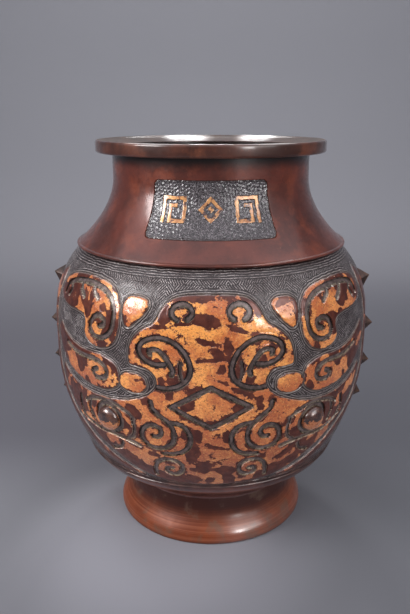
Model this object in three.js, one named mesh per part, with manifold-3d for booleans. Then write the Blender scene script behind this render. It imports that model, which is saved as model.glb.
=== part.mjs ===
// A cast bronze flower vase: a flared foot, a deep bowl, a wide belly, a waisted neck and a dished rim.
// Millimetres, +Z up. The origin is on the axis, at the middle of the face that the foot rests on.
// The framed panel on the neck and the middle of the front mask face -Y.

import * as THREE from "three";
import { mergeVertices } from "three/addons/utils/BufferGeometryUtils.js";
import Module from "manifold-3d";

const wasm = await Module();
wasm.setup();

// Heights of the five castings, which stand on one another
const FOOT_HEIGHT = 34.5;
const BOWL_HEIGHT = 29.4;
const BELLY_HEIGHT = 160.1;
const NECK_HEIGHT = 67;
const RIM_HEIGHT = 9;

// Outside radii
const FOOT_RADIUS = 76.2;
const FOOT_HEEL = 0.7; // how far the foot draws in again at the face it rests on
const FOOT_WIDEST = 3.2; // height of its widest turn
const FOOT_FLARE = 21; // height over which it flares in to the waist
const WAIST_RADIUS = 66.6;
const BOWL_RADIUS = 98.6;
const EDGE_PROUD = 1.6; // how far the belly's lower edge stands out past the bowl
const BELLY_LOW_RADIUS = BOWL_RADIUS + EDGE_PROUD;
const BELLY_RADIUS = 121.9;
const BELLY_WIDEST = 86.6; // above the belly's lower edge
const SKIRT_RADIUS = 102.8;
const SKIRT_PROUD = 2.8; // how far the neck's skirt stands out past the belly
const BELLY_TOP_RADIUS = SKIRT_RADIUS - SKIRT_PROUD;
const SKIRT_EDGE = 2; // height of the neck's upright lower edge
const NECK_FLARE = 49.5; // height over which the neck flares out to its skirt
const RIM_RADIUS = 86.3;
const RIM_PROUD = 12.3; // how far the rim stands out past the neck
const NECK_RADIUS = RIM_RADIUS - RIM_PROUD;
const RIM_ROUNDING = 1.8;
const RIM_LIP = 3.4; // width of the rounded lip round the dish
const LIP_DROP = 0.3; // how far the lip has fallen where the dish begins
const DISH_DEPTH = 4.5; // below the top of the lip, at the mouth

// How fast each curve turns: the power of its distance from the widest or narrowest place
const BELLY_LOW_SWELL = 2.14;
const BELLY_TOP_SWELL = 3.58;
const FLARE_SWEEP = 1.93;
const BOWL_SWEEP = 1.8;
const DISH_SWEEP = 0.7;

// Walls, and the spigot joints between castings
const FOOT_WALL = 3.4;
const BOWL_WALL = 3.6;
const BELLY_WALL = 4.2; // measured from the masks' raised forms
const NECK_WALL = 4.4;
const FLANGE = 4.5; // height of the inward flange at each joint
const SPIGOT_WALL = 1.8;
const SPIGOT_HEIGHT = 4;
const FIT = 0.3; // clearance round every spigot, seat and inlay

// Breadth of the bronze at each joint, from the bore out to the surface
const WAIST_BREADTH = 7.6;
const EDGE_BREADTH = 7;
const SHOULDER_BREADTH = 10;
const MOUTH_BREADTH = 7.5;
const WAIST_BORE = WAIST_RADIUS - WAIST_BREADTH;
const BOWL_BORE = BOWL_RADIUS - EDGE_BREADTH;
const SHOULDER_BORE = BELLY_TOP_RADIUS - SHOULDER_BREADTH;
const MOUTH_BORE = NECK_RADIUS - MOUTH_BREADTH;

// Base plate, let in from below against a ledge in the foot
const FOOT_BREADTH = 8.5; // of the flat ring that the vase stands on
const PLATE_RADIUS = FOOT_RADIUS - FOOT_BREADTH - FIT;
const PLATE_THICKNESS = 2.5;
const PLATE_RECESS = 5;
const LEDGE_WIDTH = 4;
const LEDGE_HEIGHT = 3;

// Panel let into the front of the neck, with raised ornament in its field
const PANEL_WIDTH = 83;
const PANEL_HEIGHT = 37;
const PANEL_LIFT = 15; // above the neck's lower edge
const PANEL_CORNER = 4;
const PANEL_SUNK = 0.8;
const PANEL_THICKNESS = 1.4;
const ORNAMENT_RELIEF = 0.6;
const ORNAMENT_SIZE = 17;
const ORNAMENT_BAR = 2.4;
const ORNAMENT_SPACING = 25;
const LOZENGE_TIP = 0.2; // half width that a lozenge keeps at its ends
const HEART_INSET = 1.8; // how far the small lozenge lies inside the large one, in widths of its band
const ORNAMENT_ROW = 4.5; // greatest height of a facet, so that the ornament follows the neck's curve

// The masks' raised forms, one mask in front and one behind. Each outline is drawn for the right
// half: degrees from the mask's middle, and millimetres up the drawing. The halves of the face
// overlap by two degrees at the middle.
const RELIEF = 1.2; // how far the forms stand out of the belly's ground
const RELIEF_ROOT = 1; // how deep they are rooted in its wall
const GROOVE_DEPTH = 1.1;
const EDGE_RING = 2; // height of the raised ring along the belly's lower edge
const DRAWING_HEIGHT = 162.5; // of the drawing, which is fitted to the belly's height
const DRAWING_SPREAD = 0.975; // degrees round the belly for one degree of the drawing
const FACE = [
  [-1, 147.2], [9, 146.5], [14.6, 141.5], [17.3, 132], [21, 125.7], [25.5, 116.5], [26.9, 104.5], [24, 98.9],
  [18.4, 95], [17.9, 85.5], [23, 76.8], [31, 71.3], [46, 69.7], [59.5, 75.5], [64.5, 79.5], [65.5, 72.5],
  [62.5, 61], [57, 48.5], [50.5, 37.5], [44, 28.8], [38, 21.5], [32, 15], [26, 9.8], [20, 7.1], [-1, 5],
];
const BROW_DROP = [[20.4, 139.5], [24.3, 144.3], [29.3, 141.5], [29.6, 132.5], [27.9, 124.5], [24.3, 128.5]];
const CHEEK_DROP = [[21, 86.5], [24.2, 93.3], [30, 90.5], [29.8, 81.5], [23.5, 80]];
const HORN = [
  [30.6, 130.5], [34.5, 145.5], [40, 149.1], [49, 150.5], [58, 149.8], [67, 140.5], [63.5, 129.5], [51, 126.5],
  [45.8, 119.5], [45, 108.8], [38.5, 105.5], [32, 113.5],
];
const EAR = [
  [31.2, 88.5], [35, 99], [47, 100.5], [60, 106.5], [65, 111.5], [67.5, 106.5], [61, 86.5], [46, 76.1], [33.4, 79],
];
const STRAP = [
  [27, 7.9], [40, 16.5], [53, 32.5], [66, 56.5], [72, 88.5], [72, 128.5], [70.5, 140.5], [72, 148.5], [76, 144.5],
  [78.5, 110.5], [75, 70.5], [64, 38.5], [48.5, 16.5], [32, 6.1],
];
const LOZENGE = { halfWidth: 12.7, halfHeight: 14.9, height: 72.6, groove: 3 };
const CRESCENT = [
  [14.6, 102.4], [20.3, 103.5], [23, 111.5], [19, 119.1], [12, 117.8], [7.2, 107], [6.9, 94.5], [11.3, 86.9],
  [17.4, 86.1],
];
const CRESCENT_GROOVE = 2.7; // width

// Eye bosses of the masks, on the same drawing
const EYE_RADIUS = 9;
const EYE_RELIEF = 5.4;
const EYE_LIFT = 54;
const EYE_ANGLE = 37;
const SEAT_DEPTH = 1.2; // depth of the seats for bosses and studs

// Lozenge studs, a row down each side
const STUD_HEIGHT = 15;
const STUD_WIDTH = 11;
const STUD_RELIEF = 6.8;
const STUD_ANGLE = 84; // degrees either side of the front
const STUD_TURN = -3; // degrees by which both rows lie further round
const STUD_LIFTS = [41, 68.5, 99, 135.5]; // up the masks' drawing
const STUD_SEAT_FIT = 0.45; // clearance measured along a lozenge's diagonals

// Facets, and how far a cutter runs past the faces that it cuts
const SIDES = 48;
const EYE_SIDES = 20;
const BELLY_ROWS = 7; // below its widest turn, and as many above
const PRISM_REACH = [0.7, 1.4]; // where a radial cutter starts and ends, in belly radii
const CUT_PAST = 1;
const FLAT_WITHIN = 0.03; // facets that lie this flat to one another become one
const RADIAN = Math.PI / 180;

// Joint planes, from the resting face up
const WAIST_Z = FOOT_HEIGHT;
const EDGE_Z = WAIST_Z + BOWL_HEIGHT;
const SHOULDER_Z = EDGE_Z + BELLY_HEIGHT;
const MOUTH_Z = SHOULDER_Z + NECK_HEIGHT;
const TOP_Z = MOUTH_Z + RIM_HEIGHT;

// Outlines: the outside radius of each casting at a height z

// A half cosine from the widest turn of the foot in to the waist, which is upright.
function footRadius(z) {
  if (z < FOOT_WIDEST) return FOOT_RADIUS - FOOT_HEEL * (1 - z / FOOT_WIDEST) ** 2;
  const t = Math.min(1, (z - FOOT_WIDEST) / FOOT_FLARE);
  return FOOT_RADIUS - (FOOT_RADIUS - WAIST_RADIUS) * (1 - Math.cos(Math.PI * t)) / 2;
}

// A quarter sine raised to a power, so that the bowl leaves the waist upright and ends nearly level.
function bowlRadius(z) {
  const t = (z - WAIST_Z) / BOWL_HEIGHT;
  return WAIST_RADIUS + (BOWL_RADIUS - WAIST_RADIUS) * Math.sin(Math.PI * t / 2) ** BOWL_SWEEP;
}

// Full at its widest height, falling off by a power of the distance above and below it.
function bellyRadius(z) {
  const fromWidest = z - EDGE_Z - BELLY_WIDEST;
  if (fromWidest < 0) {
    return BELLY_RADIUS - (BELLY_RADIUS - BELLY_LOW_RADIUS) * (-fromWidest / BELLY_WIDEST) ** BELLY_LOW_SWELL;
  }
  const t = fromWidest / (BELLY_HEIGHT - BELLY_WIDEST);
  return BELLY_RADIUS - (BELLY_RADIUS - BELLY_TOP_RADIUS) * t ** BELLY_TOP_SWELL;
}

// Straight at the top, flaring out to the skirt by a power of the distance below the straight.
function neckRadius(z) {
  const t = Math.max(0, (SHOULDER_Z + NECK_FLARE - z) / NECK_FLARE);
  return NECK_RADIUS + (SKIRT_RADIUS - NECK_RADIUS) * t ** FLARE_SWEEP;
}

// Points [radius, z] along an outline between two heights, moved inwards by a wall
function trace(radiusAt, low, high, steps, wall = 0) {
  return Array.from({ length: steps + 1 }, (_, i) => {
    const z = low + (high - low) * i / steps;
    return [radiusAt(z) - wall, z];
  });
}

// Points on a quarter round between two points, bulging towards the corner that joins them
function rounded(from, to, corner, steps = 3) {
  return Array.from({ length: steps + 1 }, (_, i) => {
    const turn = Math.PI / 2 * i / steps;
    const back = 1 - Math.sin(turn);
    const on = 1 - Math.cos(turn);
    return [0, 1].map((k) => corner[k] + (from[k] - corner[k]) * back + (to[k] - corner[k]) * on);
  });
}

// A ring turned about Z from its section, given as [radius, z] points anticlockwise
function turned(section) {
  const points = section.map(([radius, z]) => new THREE.Vector2(radius, z));
  return new THREE.LatheGeometry([...points, points[0]], SIDES).rotateX(Math.PI / 2);
}

// Solids for cutting and joining, and back again

function solidFrom(geometry) {
  const bare = geometry.clone();
  bare.deleteAttribute("normal");
  bare.deleteAttribute("uv");
  const merged = mergeVertices(bare, 1e-4);
  return new wasm.Manifold(new wasm.Mesh({
    numProp: 3,
    vertProperties: merged.attributes.position.array,
    triVerts: new Uint32Array(merged.index.array),
  }));
}

function geometryFrom(solid) {
  const mesh = solid.getMesh();
  const geometry = new THREE.BufferGeometry();
  geometry.setAttribute("position", new THREE.BufferAttribute(mesh.vertProperties, 3));
  geometry.setIndex(new THREE.BufferAttribute(mesh.triVerts, 1));
  geometry.computeVertexNormals();
  return geometry;
}

function cut(geometry, tools) {
  return geometryFrom(tools.reduce((left, tool) => left.subtract(solidFrom(tool)), solidFrom(geometry)));
}

function join(geometry, additions) {
  return geometryFrom(additions.reduce((whole, piece) => whole.add(solidFrom(piece)), solidFrom(geometry)));
}

// A pad that follows the neck, between two depths under its surface. halfWidth(v) is its reach to
// either side, along the arc, at height v above or below the pad's middle.
const PANEL_Z = SHOULDER_Z + PANEL_LIFT + PANEL_HEIGHT / 2;
const PANEL_ARC = neckRadius(PANEL_Z);

function neckPad({ x = 0, z = PANEL_Z, heights, halfWidth, front, back, columns }) {
  const positions = [];
  const faces = [];
  const rows = heights.length - 1;
  for (const depth of [front, back]) {
    for (const v of heights) {
      for (let i = 0; i <= columns; i++) {
        const angle = (x + halfWidth(v) * (2 * i / columns - 1)) / PANEL_ARC;
        const radius = neckRadius(z + v) - depth;
        positions.push(radius * Math.sin(angle), -radius * Math.cos(angle), z + v);
      }
    }
  }
  const layer = (rows + 1) * (columns + 1);
  const at = (side, row, column) => side * layer + row * (columns + 1) + column;
  const quad = (a, b, c, d) => faces.push(a, b, c, a, c, d);
  for (let r = 0; r < rows; r++) {
    for (let c = 0; c < columns; c++) {
      quad(at(0, r, c), at(0, r, c + 1), at(0, r + 1, c + 1), at(0, r + 1, c));
      quad(at(1, r, c), at(1, r + 1, c), at(1, r + 1, c + 1), at(1, r, c + 1));
    }
    quad(at(0, r, 0), at(0, r + 1, 0), at(1, r + 1, 0), at(1, r, 0));
    quad(at(0, r, columns), at(1, r, columns), at(1, r + 1, columns), at(0, r + 1, columns));
  }
  for (let c = 0; c < columns; c++) {
    quad(at(0, 0, c), at(1, 0, c), at(1, 0, c + 1), at(0, 0, c + 1));
    quad(at(0, rows, c), at(0, rows, c + 1), at(1, rows, c + 1), at(1, rows, c));
  }
  const geometry = new THREE.BufferGeometry();
  geometry.setAttribute("position", new THREE.Float32BufferAttribute(positions, 3));
  geometry.setIndex(faces);
  return geometry;
}

// The panel's outline, grown by a clearance: straight sides and quarter-round corners
function panelPad(grow, front, back) {
  const reach = PANEL_HEIGHT / 2 + grow;
  const corner = PANEL_CORNER + grow;
  const straight = reach - corner;
  const bend = [0, 30, 60, 90].map((degrees) => straight + corner * Math.sin(degrees * RADIAN));
  const middle = [-0.4, 0, 0.4].map((share) => share * straight);
  const heights = [...bend.toReversed().map((v) => -v), ...middle, ...bend];
  const halfWidth = (v) => {
    const over = Math.max(0, Math.abs(v) - straight);
    return PANEL_WIDTH / 2 + grow - corner + Math.sqrt(Math.max(0, corner ** 2 - over ** 2));
  };
  return neckPad({ heights, halfWidth, front, back, columns: 12 });
}

// Raised ornament on the panel: it is rooted inside the panel and stands proud of its field
const ORNAMENT_FRONT = PANEL_SUNK - ORNAMENT_RELIEF;
const ORNAMENT_BACK = PANEL_SUNK + PANEL_THICKNESS / 2;

// Heights from -half to half in even rows, an even number of them so that one lies at the middle
function ornamentRows(half) {
  const rows = 2 * Math.ceil(half / ORNAMENT_ROW);
  return Array.from({ length: rows + 1 }, (_, i) => half * (2 * i / rows - 1));
}

function bar(x, left, right, low, high) {
  return neckPad({
    x: x + (left + right) / 2,
    z: PANEL_Z + (low + high) / 2,
    heights: ornamentRows((high - low) / 2),
    halfWidth: () => (right - left) / 2,
    front: ORNAMENT_FRONT,
    back: ORNAMENT_BACK,
    columns: 2,
  });
}

// A square fret: one bar turning inwards, mirrored by side = -1
function fret(x, side) {
  const half = ORNAMENT_SIZE / 2;
  const w = ORNAMENT_BAR;
  const inner = half - 2 * w;
  const arms = [
    [-half, -half + w, -half, half],
    [-half, half, half - w, half],
    [half - w, half, -half, half],
    [-inner, half, -half, -half + w],
    [-inner, -inner + w, -half, inner],
    [-inner, inner - w / 2, inner - w, inner],
  ];
  return arms.map(([left, right, low, high]) =>
    (side > 0 ? bar(x, left, right, low, high) : bar(x, -right, -left, low, high)));
}

function lozengePad(half, front, back) {
  return neckPad({
    heights: ornamentRows(half),
    halfWidth: (v) => Math.max(LOZENGE_TIP, half - Math.abs(v)),
    front,
    back,
    columns: 4,
  });
}

// A ring-shaped lozenge with a small solid one inside it
function lozenges() {
  const half = ORNAMENT_SIZE / 2;
  const gap = ORNAMENT_BAR * Math.SQRT2;
  const outer = lozengePad(half, ORNAMENT_FRONT, ORNAMENT_BACK);
  const hole = lozengePad(half - gap, ORNAMENT_FRONT - CUT_PAST, ORNAMENT_BACK + CUT_PAST);
  const heart = lozengePad(half - HEART_INSET * gap, ORNAMENT_FRONT, ORNAMENT_BACK);
  return [cut(outer, [hole]), heart];
}

// The height on the belly of a height on the masks' drawing
function drawn(height) {
  return EDGE_Z + height * BELLY_HEIGHT / DRAWING_HEIGHT;
}

// An outline on the drawing carried straight out from the axis, right through the belly's wall.
// side = -1 mirrors it to the left half, and turn takes it to the mask behind.
function radialPrism(outline, side, turn) {
  const contour = outline.map(([degrees, height]) => new THREE.Vector2(side * degrees, height));
  if (THREE.ShapeUtils.isClockWise(contour)) contour.reverse();
  const count = contour.length;
  const positions = PRISM_REACH.toReversed().flatMap((share) => contour.flatMap(({ x, y }) => {
    const angle = turn + x * DRAWING_SPREAD * RADIAN;
    const radius = share * BELLY_RADIUS;
    return [radius * Math.sin(angle), -radius * Math.cos(angle), drawn(y)];
  }));
  const faces = THREE.ShapeUtils.triangulateShape(contour, []).flatMap(([a, b, c]) =>
    [a, b, c, count + a, count + c, count + b]);
  for (let i = 0; i < count; i++) {
    const next = (i + 1) % count;
    faces.push(next, i, count + i, next, count + i, count + next);
  }
  const geometry = new THREE.BufferGeometry();
  geometry.setAttribute("position", new THREE.Float32BufferAttribute(positions, 3));
  geometry.setIndex(faces);
  return geometry;
}

// Points up the belly's outline, moved inwards by a depth
function bellyTrace(low, high, depth) {
  const widest = EDGE_Z + BELLY_WIDEST;
  return [
    ...trace(bellyRadius, low, widest, BELLY_ROWS, depth),
    ...trace(bellyRadius, widest, high, BELLY_ROWS, depth).slice(1),
  ];
}

// The belly's skin between two depths under its outline, where a prism meets it: a solid
function skin(outer, inner, prism) {
  const ring = turned([
    ...bellyTrace(EDGE_Z, SHOULDER_Z, outer),
    ...bellyTrace(EDGE_Z, SHOULDER_Z, inner).toReversed(),
  ]);
  return solidFrom(ring).intersect(solidFrom(prism));
}

// A groove's outline, at half its width to either side of a line on the drawing
function band(line, width) {
  const degree = DRAWING_SPREAD * RADIAN * BELLY_RADIUS;
  const flat = line.map(([degrees, height]) => new THREE.Vector2(degrees * degree, height));
  const edge = (side) => flat.map((point, i) => {
    const before = flat[Math.max(i - 1, 0)];
    const after = flat[Math.min(i + 1, flat.length - 1)];
    const way = after.clone().sub(before).setLength(side * width / 2);
    return [(point.x - way.y) / degree, point.y + way.x];
  });
  return [...edge(1), ...edge(-1).toReversed()];
}

// A lozenge on the drawing, grown by a clearance measured square to its sides
function lozengeOutline(grow) {
  const { halfWidth, halfHeight, height } = LOZENGE;
  const degree = DRAWING_SPREAD * RADIAN * BELLY_RADIUS;
  const share = 1 + grow * Math.hypot(1 / (halfWidth * degree), 1 / halfHeight);
  return [
    [0, height - share * halfHeight], [share * halfWidth, height],
    [0, height + share * halfHeight], [-share * halfWidth, height],
  ];
}

const MASKS = [0, Math.PI];

function maskForms() {
  const outlines = [FACE, BROW_DROP, CHEEK_DROP, HORN, EAR, STRAP];
  return MASKS.flatMap((turn) =>
    [-1, 1].flatMap((side) => outlines.map((outline) => radialPrism(outline, side, turn))))
    .map((prism) => skin(0, RELIEF + RELIEF_ROOT, prism));
}

function maskGrooves() {
  return MASKS.flatMap((turn) => {
    const outside = radialPrism(lozengeOutline(LOZENGE.groove / 2), 1, turn);
    const within = radialPrism(lozengeOutline(-LOZENGE.groove / 2), 1, turn);
    const crescents = [-1, 1].map((side) => radialPrism(band(CRESCENT, CRESCENT_GROOVE), side, turn));
    return [cut(outside, [within]), ...crescents];
  }).map((prism) => skin(-CUT_PAST, GROOVE_DEPTH, prism));
}

// Bosses and studs sit square to the belly, a depth under its outline. Their own +Z is the way out
// of the bronze.
function placeOnBelly(object, { angle, height, depth }) {
  const z = drawn(height);
  const step = 0.5;
  const slope = (bellyRadius(z + step) - bellyRadius(z - step)) / (2 * step);
  const out = new THREE.Vector3(Math.sin(angle), -Math.cos(angle), 0);
  const normal = out.clone().setZ(-slope).normalize();
  const along = new THREE.Vector3(Math.cos(angle), Math.sin(angle), 0);
  const up = new THREE.Vector3().crossVectors(normal, along);
  const place = new THREE.Matrix4().makeBasis(along, up, normal);
  place.setPosition(out.multiplyScalar(bellyRadius(z) - depth).setZ(z));
  object.applyMatrix4(place);
  return object;
}

// A seat's walls run on past the bronze, so that the cut is open outwards.
const SEAT_REACH = 4;

function eyeBoss() {
  const steps = 5;
  const dome = Array.from({ length: steps }, (_, i) => {
    const turn = Math.PI / 2 * i / steps;
    return [EYE_RADIUS * Math.cos(turn), EYE_RELIEF * Math.sin(turn)];
  });
  const root = -(SEAT_DEPTH - FIT);
  const points = [[0, root], [EYE_RADIUS, root], ...dome, [0, EYE_RELIEF]];
  return new THREE.LatheGeometry(points.map(([r, z]) => new THREE.Vector2(r, z)), EYE_SIDES)
    .rotateX(Math.PI / 2);
}

function eyeSeat() {
  const height = SEAT_DEPTH + SEAT_REACH;
  return new THREE.CylinderGeometry(EYE_RADIUS + FIT, EYE_RADIUS + FIT, height, EYE_SIDES)
    .rotateX(Math.PI / 2)
    .translate(0, 0, height / 2 - SEAT_DEPTH);
}

function stud() {
  const root = -(SEAT_DEPTH - FIT);
  const points = [[0, root], [1, root], [1, 0], [0, STUD_RELIEF]].map(([r, z]) => new THREE.Vector2(r, z));
  return new THREE.LatheGeometry(points, 4).rotateX(Math.PI / 2).scale(STUD_WIDTH / 2, STUD_HEIGHT / 2, 1);
}

function studSeat() {
  const height = SEAT_DEPTH + SEAT_REACH;
  return new THREE.CylinderGeometry(1, 1, height, 4)
    .rotateX(Math.PI / 2)
    .scale(STUD_WIDTH / 2 + STUD_SEAT_FIT, STUD_HEIGHT / 2 + STUD_SEAT_FIT, 1)
    .translate(0, 0, height / 2 - SEAT_DEPTH);
}

// The eyes stand on the raised faces, and the studs on the ground between the masks.
const EYES = [
  ["eye_front_left", -EYE_ANGLE, 0],
  ["eye_front_right", EYE_ANGLE, 0],
  ["eye_back_left", EYE_ANGLE, 180],
  ["eye_back_right", -EYE_ANGLE, 180],
].map(([name, degrees, turn]) =>
  ({ name, angle: (turn + degrees * DRAWING_SPREAD) * RADIAN, height: EYE_LIFT, depth: 0 }));

const STUDS = [["left", -STUD_ANGLE], ["right", STUD_ANGLE]].flatMap(([side, degrees]) =>
  STUD_LIFTS.map((height, i) =>
    ({ name: `stud_${side}_${i + 1}`, angle: (degrees + STUD_TURN) * RADIAN, height, depth: RELIEF })));

// The castings. At a joint the lower one ends in an inward flange with an upright spigot, and the
// upper one stands on that flange, round the spigot.

// The upright spigot from its outer foot over its top to its inner foot
function spigot(bore, z) {
  return [
    [bore + SPIGOT_WALL, z],
    [bore + SPIGOT_WALL, z + SPIGOT_HEIGHT],
    [bore, z + SPIGOT_HEIGHT],
  ];
}

function footRing() {
  const ledge = PLATE_RECESS + PLATE_THICKNESS;
  const ledgeBore = PLATE_RADIUS - LEDGE_WIDTH;
  return turned([
    [PLATE_RADIUS + FIT, 0],
    ...trace(footRadius, 0, FOOT_WIDEST + FOOT_FLARE, 10),
    [WAIST_RADIUS, WAIST_Z],
    ...spigot(WAIST_BORE, WAIST_Z),
    [WAIST_BORE, WAIST_Z - FLANGE],
    ...trace(footRadius, ledge + LEDGE_HEIGHT, WAIST_Z - FLANGE, 3, FOOT_WALL).toReversed(),
    [ledgeBore, ledge + LEDGE_HEIGHT],
    [ledgeBore, ledge],
    [PLATE_RADIUS + FIT, ledge],
  ]);
}

function basePlate() {
  return new THREE.CylinderGeometry(PLATE_RADIUS, PLATE_RADIUS, PLATE_THICKNESS, SIDES)
    .rotateX(Math.PI / 2)
    .translate(0, 0, PLATE_RECESS + PLATE_THICKNESS / 2);
}

function lowerBowl() {
  const entry = WAIST_BORE + SPIGOT_WALL + FIT;
  return turned([
    [entry, WAIST_Z],
    ...trace(bowlRadius, WAIST_Z, EDGE_Z, 7),
    ...spigot(BOWL_BORE, EDGE_Z),
    [BOWL_BORE, EDGE_Z - FLANGE],
    ...trace(bowlRadius, WAIST_Z + FLANGE, EDGE_Z - FLANGE, 4, BOWL_WALL).toReversed().slice(1),
    [entry, WAIST_Z + FLANGE],
  ]);
}

function belly() {
  const entry = BOWL_BORE + SPIGOT_WALL + FIT;
  const ringTop = EDGE_Z + EDGE_RING;
  const groundLow = ringTop + RELIEF / 2;
  const ground = turned([
    [entry, EDGE_Z],
    ...trace(bellyRadius, EDGE_Z, ringTop, 1),
    ...bellyTrace(groundLow, SHOULDER_Z, RELIEF),
    ...spigot(SHOULDER_BORE, SHOULDER_Z),
    [SHOULDER_BORE, SHOULDER_Z - FLANGE],
    ...trace(bellyRadius, EDGE_Z + FLANGE, SHOULDER_Z - FLANGE, BELLY_ROWS, BELLY_WALL).toReversed(),
    [entry, EDGE_Z + FLANGE],
  ]);
  const seats = [
    ...EYES.map((place) => placeOnBelly(eyeSeat(), place)),
    ...STUDS.map((place) => placeOnBelly(studSeat(), place)),
  ].map(solidFrom);
  const raised = wasm.Manifold.union([solidFrom(ground), ...maskForms()]);
  const carved = raised.subtract(wasm.Manifold.union([...maskGrooves(), ...seats]));
  return geometryFrom(carved.simplify(FLAT_WITHIN));
}

function neck() {
  const entry = SHOULDER_BORE + SPIGOT_WALL + FIT;
  const skirtTop = SHOULDER_Z + SKIRT_EDGE;
  const flareTop = SHOULDER_Z + NECK_FLARE;
  const flangeTop = SHOULDER_Z + FLANGE;
  const within = (z) => Math.min(entry, neckRadius(z) - NECK_WALL);
  const shell = turned([
    [entry, SHOULDER_Z],
    [SKIRT_RADIUS - SKIRT_EDGE / 4, SHOULDER_Z],
    [SKIRT_RADIUS, SHOULDER_Z + SKIRT_EDGE / 4],
    [Math.max(neckRadius(skirtTop), SKIRT_RADIUS - SKIRT_EDGE / 2), skirtTop - SKIRT_EDGE / 4],
    ...trace(neckRadius, skirtTop, flareTop, 9),
    [NECK_RADIUS, MOUTH_Z],
    ...spigot(MOUTH_BORE, MOUTH_Z),
    [MOUTH_BORE, MOUTH_Z - FLANGE],
    [NECK_RADIUS - NECK_WALL, MOUTH_Z - FLANGE],
    ...trace(within, flangeTop, flareTop, 6).toReversed(),
  ]);
  const depth = PANEL_SUNK + PANEL_THICKNESS + FIT;
  return cut(shell, [panelPad(FIT, -CUT_PAST, depth)]);
}

function neckPanel() {
  const field = panelPad(0, PANEL_SUNK, PANEL_SUNK + PANEL_THICKNESS);
  return join(field, [...fret(-ORNAMENT_SPACING, 1), ...lozenges(), ...fret(ORNAMENT_SPACING, -1)]);
}

// A thick band with a rounded lip, dished down to the mouth. The dish falls by a power of the way in.
function rimRing() {
  const entry = MOUTH_BORE + SPIGOT_WALL + FIT;
  const low = [RIM_RADIUS - RIM_ROUNDING, MOUTH_Z];
  const high = [RIM_RADIUS, TOP_Z - RIM_ROUNDING];
  const crest = [RIM_RADIUS - RIM_LIP / 2, TOP_Z];
  const dishEdge = [RIM_RADIUS - RIM_LIP, TOP_Z - LIP_DROP];
  const dish = [0.35, 0.7, 1].map((way) => [
    dishEdge[0] + (entry - dishEdge[0]) * way,
    dishEdge[1] - (DISH_DEPTH - LIP_DROP) * way ** DISH_SWEEP,
  ]);
  return turned([
    [entry, MOUTH_Z],
    ...rounded(low, [RIM_RADIUS, MOUTH_Z + RIM_ROUNDING], [RIM_RADIUS, MOUTH_Z]),
    ...rounded(high, crest, [RIM_RADIUS, TOP_Z]),
    dishEdge,
    ...dish,
  ]);
}

// Finishes
const brownBronze = new THREE.MeshStandardMaterial({ color: 0x6b3b31, roughness: 0.32, metalness: 0.9 });
const copperBronze = new THREE.MeshStandardMaterial({ color: 0x7a4330, roughness: 0.36, metalness: 0.9 });
const reliefBronze = new THREE.MeshStandardMaterial({ color: 0xb8762f, roughness: 0.45, metalness: 0.85 });
const darkBronze = new THREE.MeshStandardMaterial({ color: 0x3d2a26, roughness: 0.4, metalness: 0.9 });
const greyBronze = new THREE.MeshStandardMaterial({ color: 0x5d5a5e, roughness: 0.5, metalness: 0.85 });

const vase = new THREE.Group();

function addPiece(name, geometry, material) {
  const mesh = new THREE.Mesh(geometry, material);
  mesh.name = name;
  vase.add(mesh);
  return mesh;
}

addPiece("foot_ring", footRing(), copperBronze);
addPiece("base_plate", basePlate(), darkBronze);
addPiece("lower_bowl", lowerBowl(), brownBronze);
addPiece("belly", belly(), reliefBronze);
addPiece("neck", neck(), brownBronze);
addPiece("neck_panel", neckPanel(), greyBronze);
addPiece("rim_ring", rimRing(), brownBronze);
for (const place of EYES) placeOnBelly(addPiece(place.name, eyeBoss(), darkBronze), place);
for (const place of STUDS) placeOnBelly(addPiece(place.name, stud(), darkBronze), place);

export default vase;
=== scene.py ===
import bpy
import numpy as np
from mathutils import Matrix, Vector


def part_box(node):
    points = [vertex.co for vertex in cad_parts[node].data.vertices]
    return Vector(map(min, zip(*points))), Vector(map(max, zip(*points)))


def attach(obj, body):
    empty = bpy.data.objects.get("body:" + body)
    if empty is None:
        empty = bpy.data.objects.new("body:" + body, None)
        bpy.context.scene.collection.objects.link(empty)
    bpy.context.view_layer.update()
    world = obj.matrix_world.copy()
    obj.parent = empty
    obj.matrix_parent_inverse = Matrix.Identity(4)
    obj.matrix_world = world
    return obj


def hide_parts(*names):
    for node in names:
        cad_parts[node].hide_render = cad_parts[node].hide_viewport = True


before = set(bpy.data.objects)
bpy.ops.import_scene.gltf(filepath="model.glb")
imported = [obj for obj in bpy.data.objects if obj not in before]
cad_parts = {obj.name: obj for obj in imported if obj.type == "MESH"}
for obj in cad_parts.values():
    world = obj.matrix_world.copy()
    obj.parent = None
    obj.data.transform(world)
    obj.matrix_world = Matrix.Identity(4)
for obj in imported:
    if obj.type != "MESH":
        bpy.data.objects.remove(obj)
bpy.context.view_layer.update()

# Foot ring
# The flared foot that the vase stands on, cast in bronze, turned smooth in a lathe and coloured a
# copper brown. The bowl is soldered round its spigot, and a ledge inside takes the base plate.

mm = 0.001
turn_steps = 288
turn_angles = np.linspace(0, 2 * np.pi, turn_steps, endpoint=False)[:, None]
waist_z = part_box("lower_bowl")[0].z
foot_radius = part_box("foot_ring")[1].x
waist_radius = 66.6 * mm
foot_widest = 3.2 * mm
foot_flare = 21 * mm
foot_heel = 0.7 * mm
foot_underside = 1.2 * mm
foot_edge = 0.6 * mm
foot_ease = 0.5 * mm
foot_wall = 3.4 * mm
flange = 4.5 * mm
spigot_wall = 1.8 * mm
spigot_height = 4 * mm
waist_bore = 59 * mm
plate_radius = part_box("base_plate")[1].x
plate_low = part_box("base_plate")[0].z
plate_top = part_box("base_plate")[1].z
ledge_width = 4 * mm
ledge_height = 3 * mm
solder_gap = 0.3 * mm


def path(*stretches):
    """One path of (radius, height) rows from single points and stretches of points, end to end."""
    return np.vstack([np.atleast_2d(np.asarray(stretch, float)) for stretch in stretches])


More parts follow.
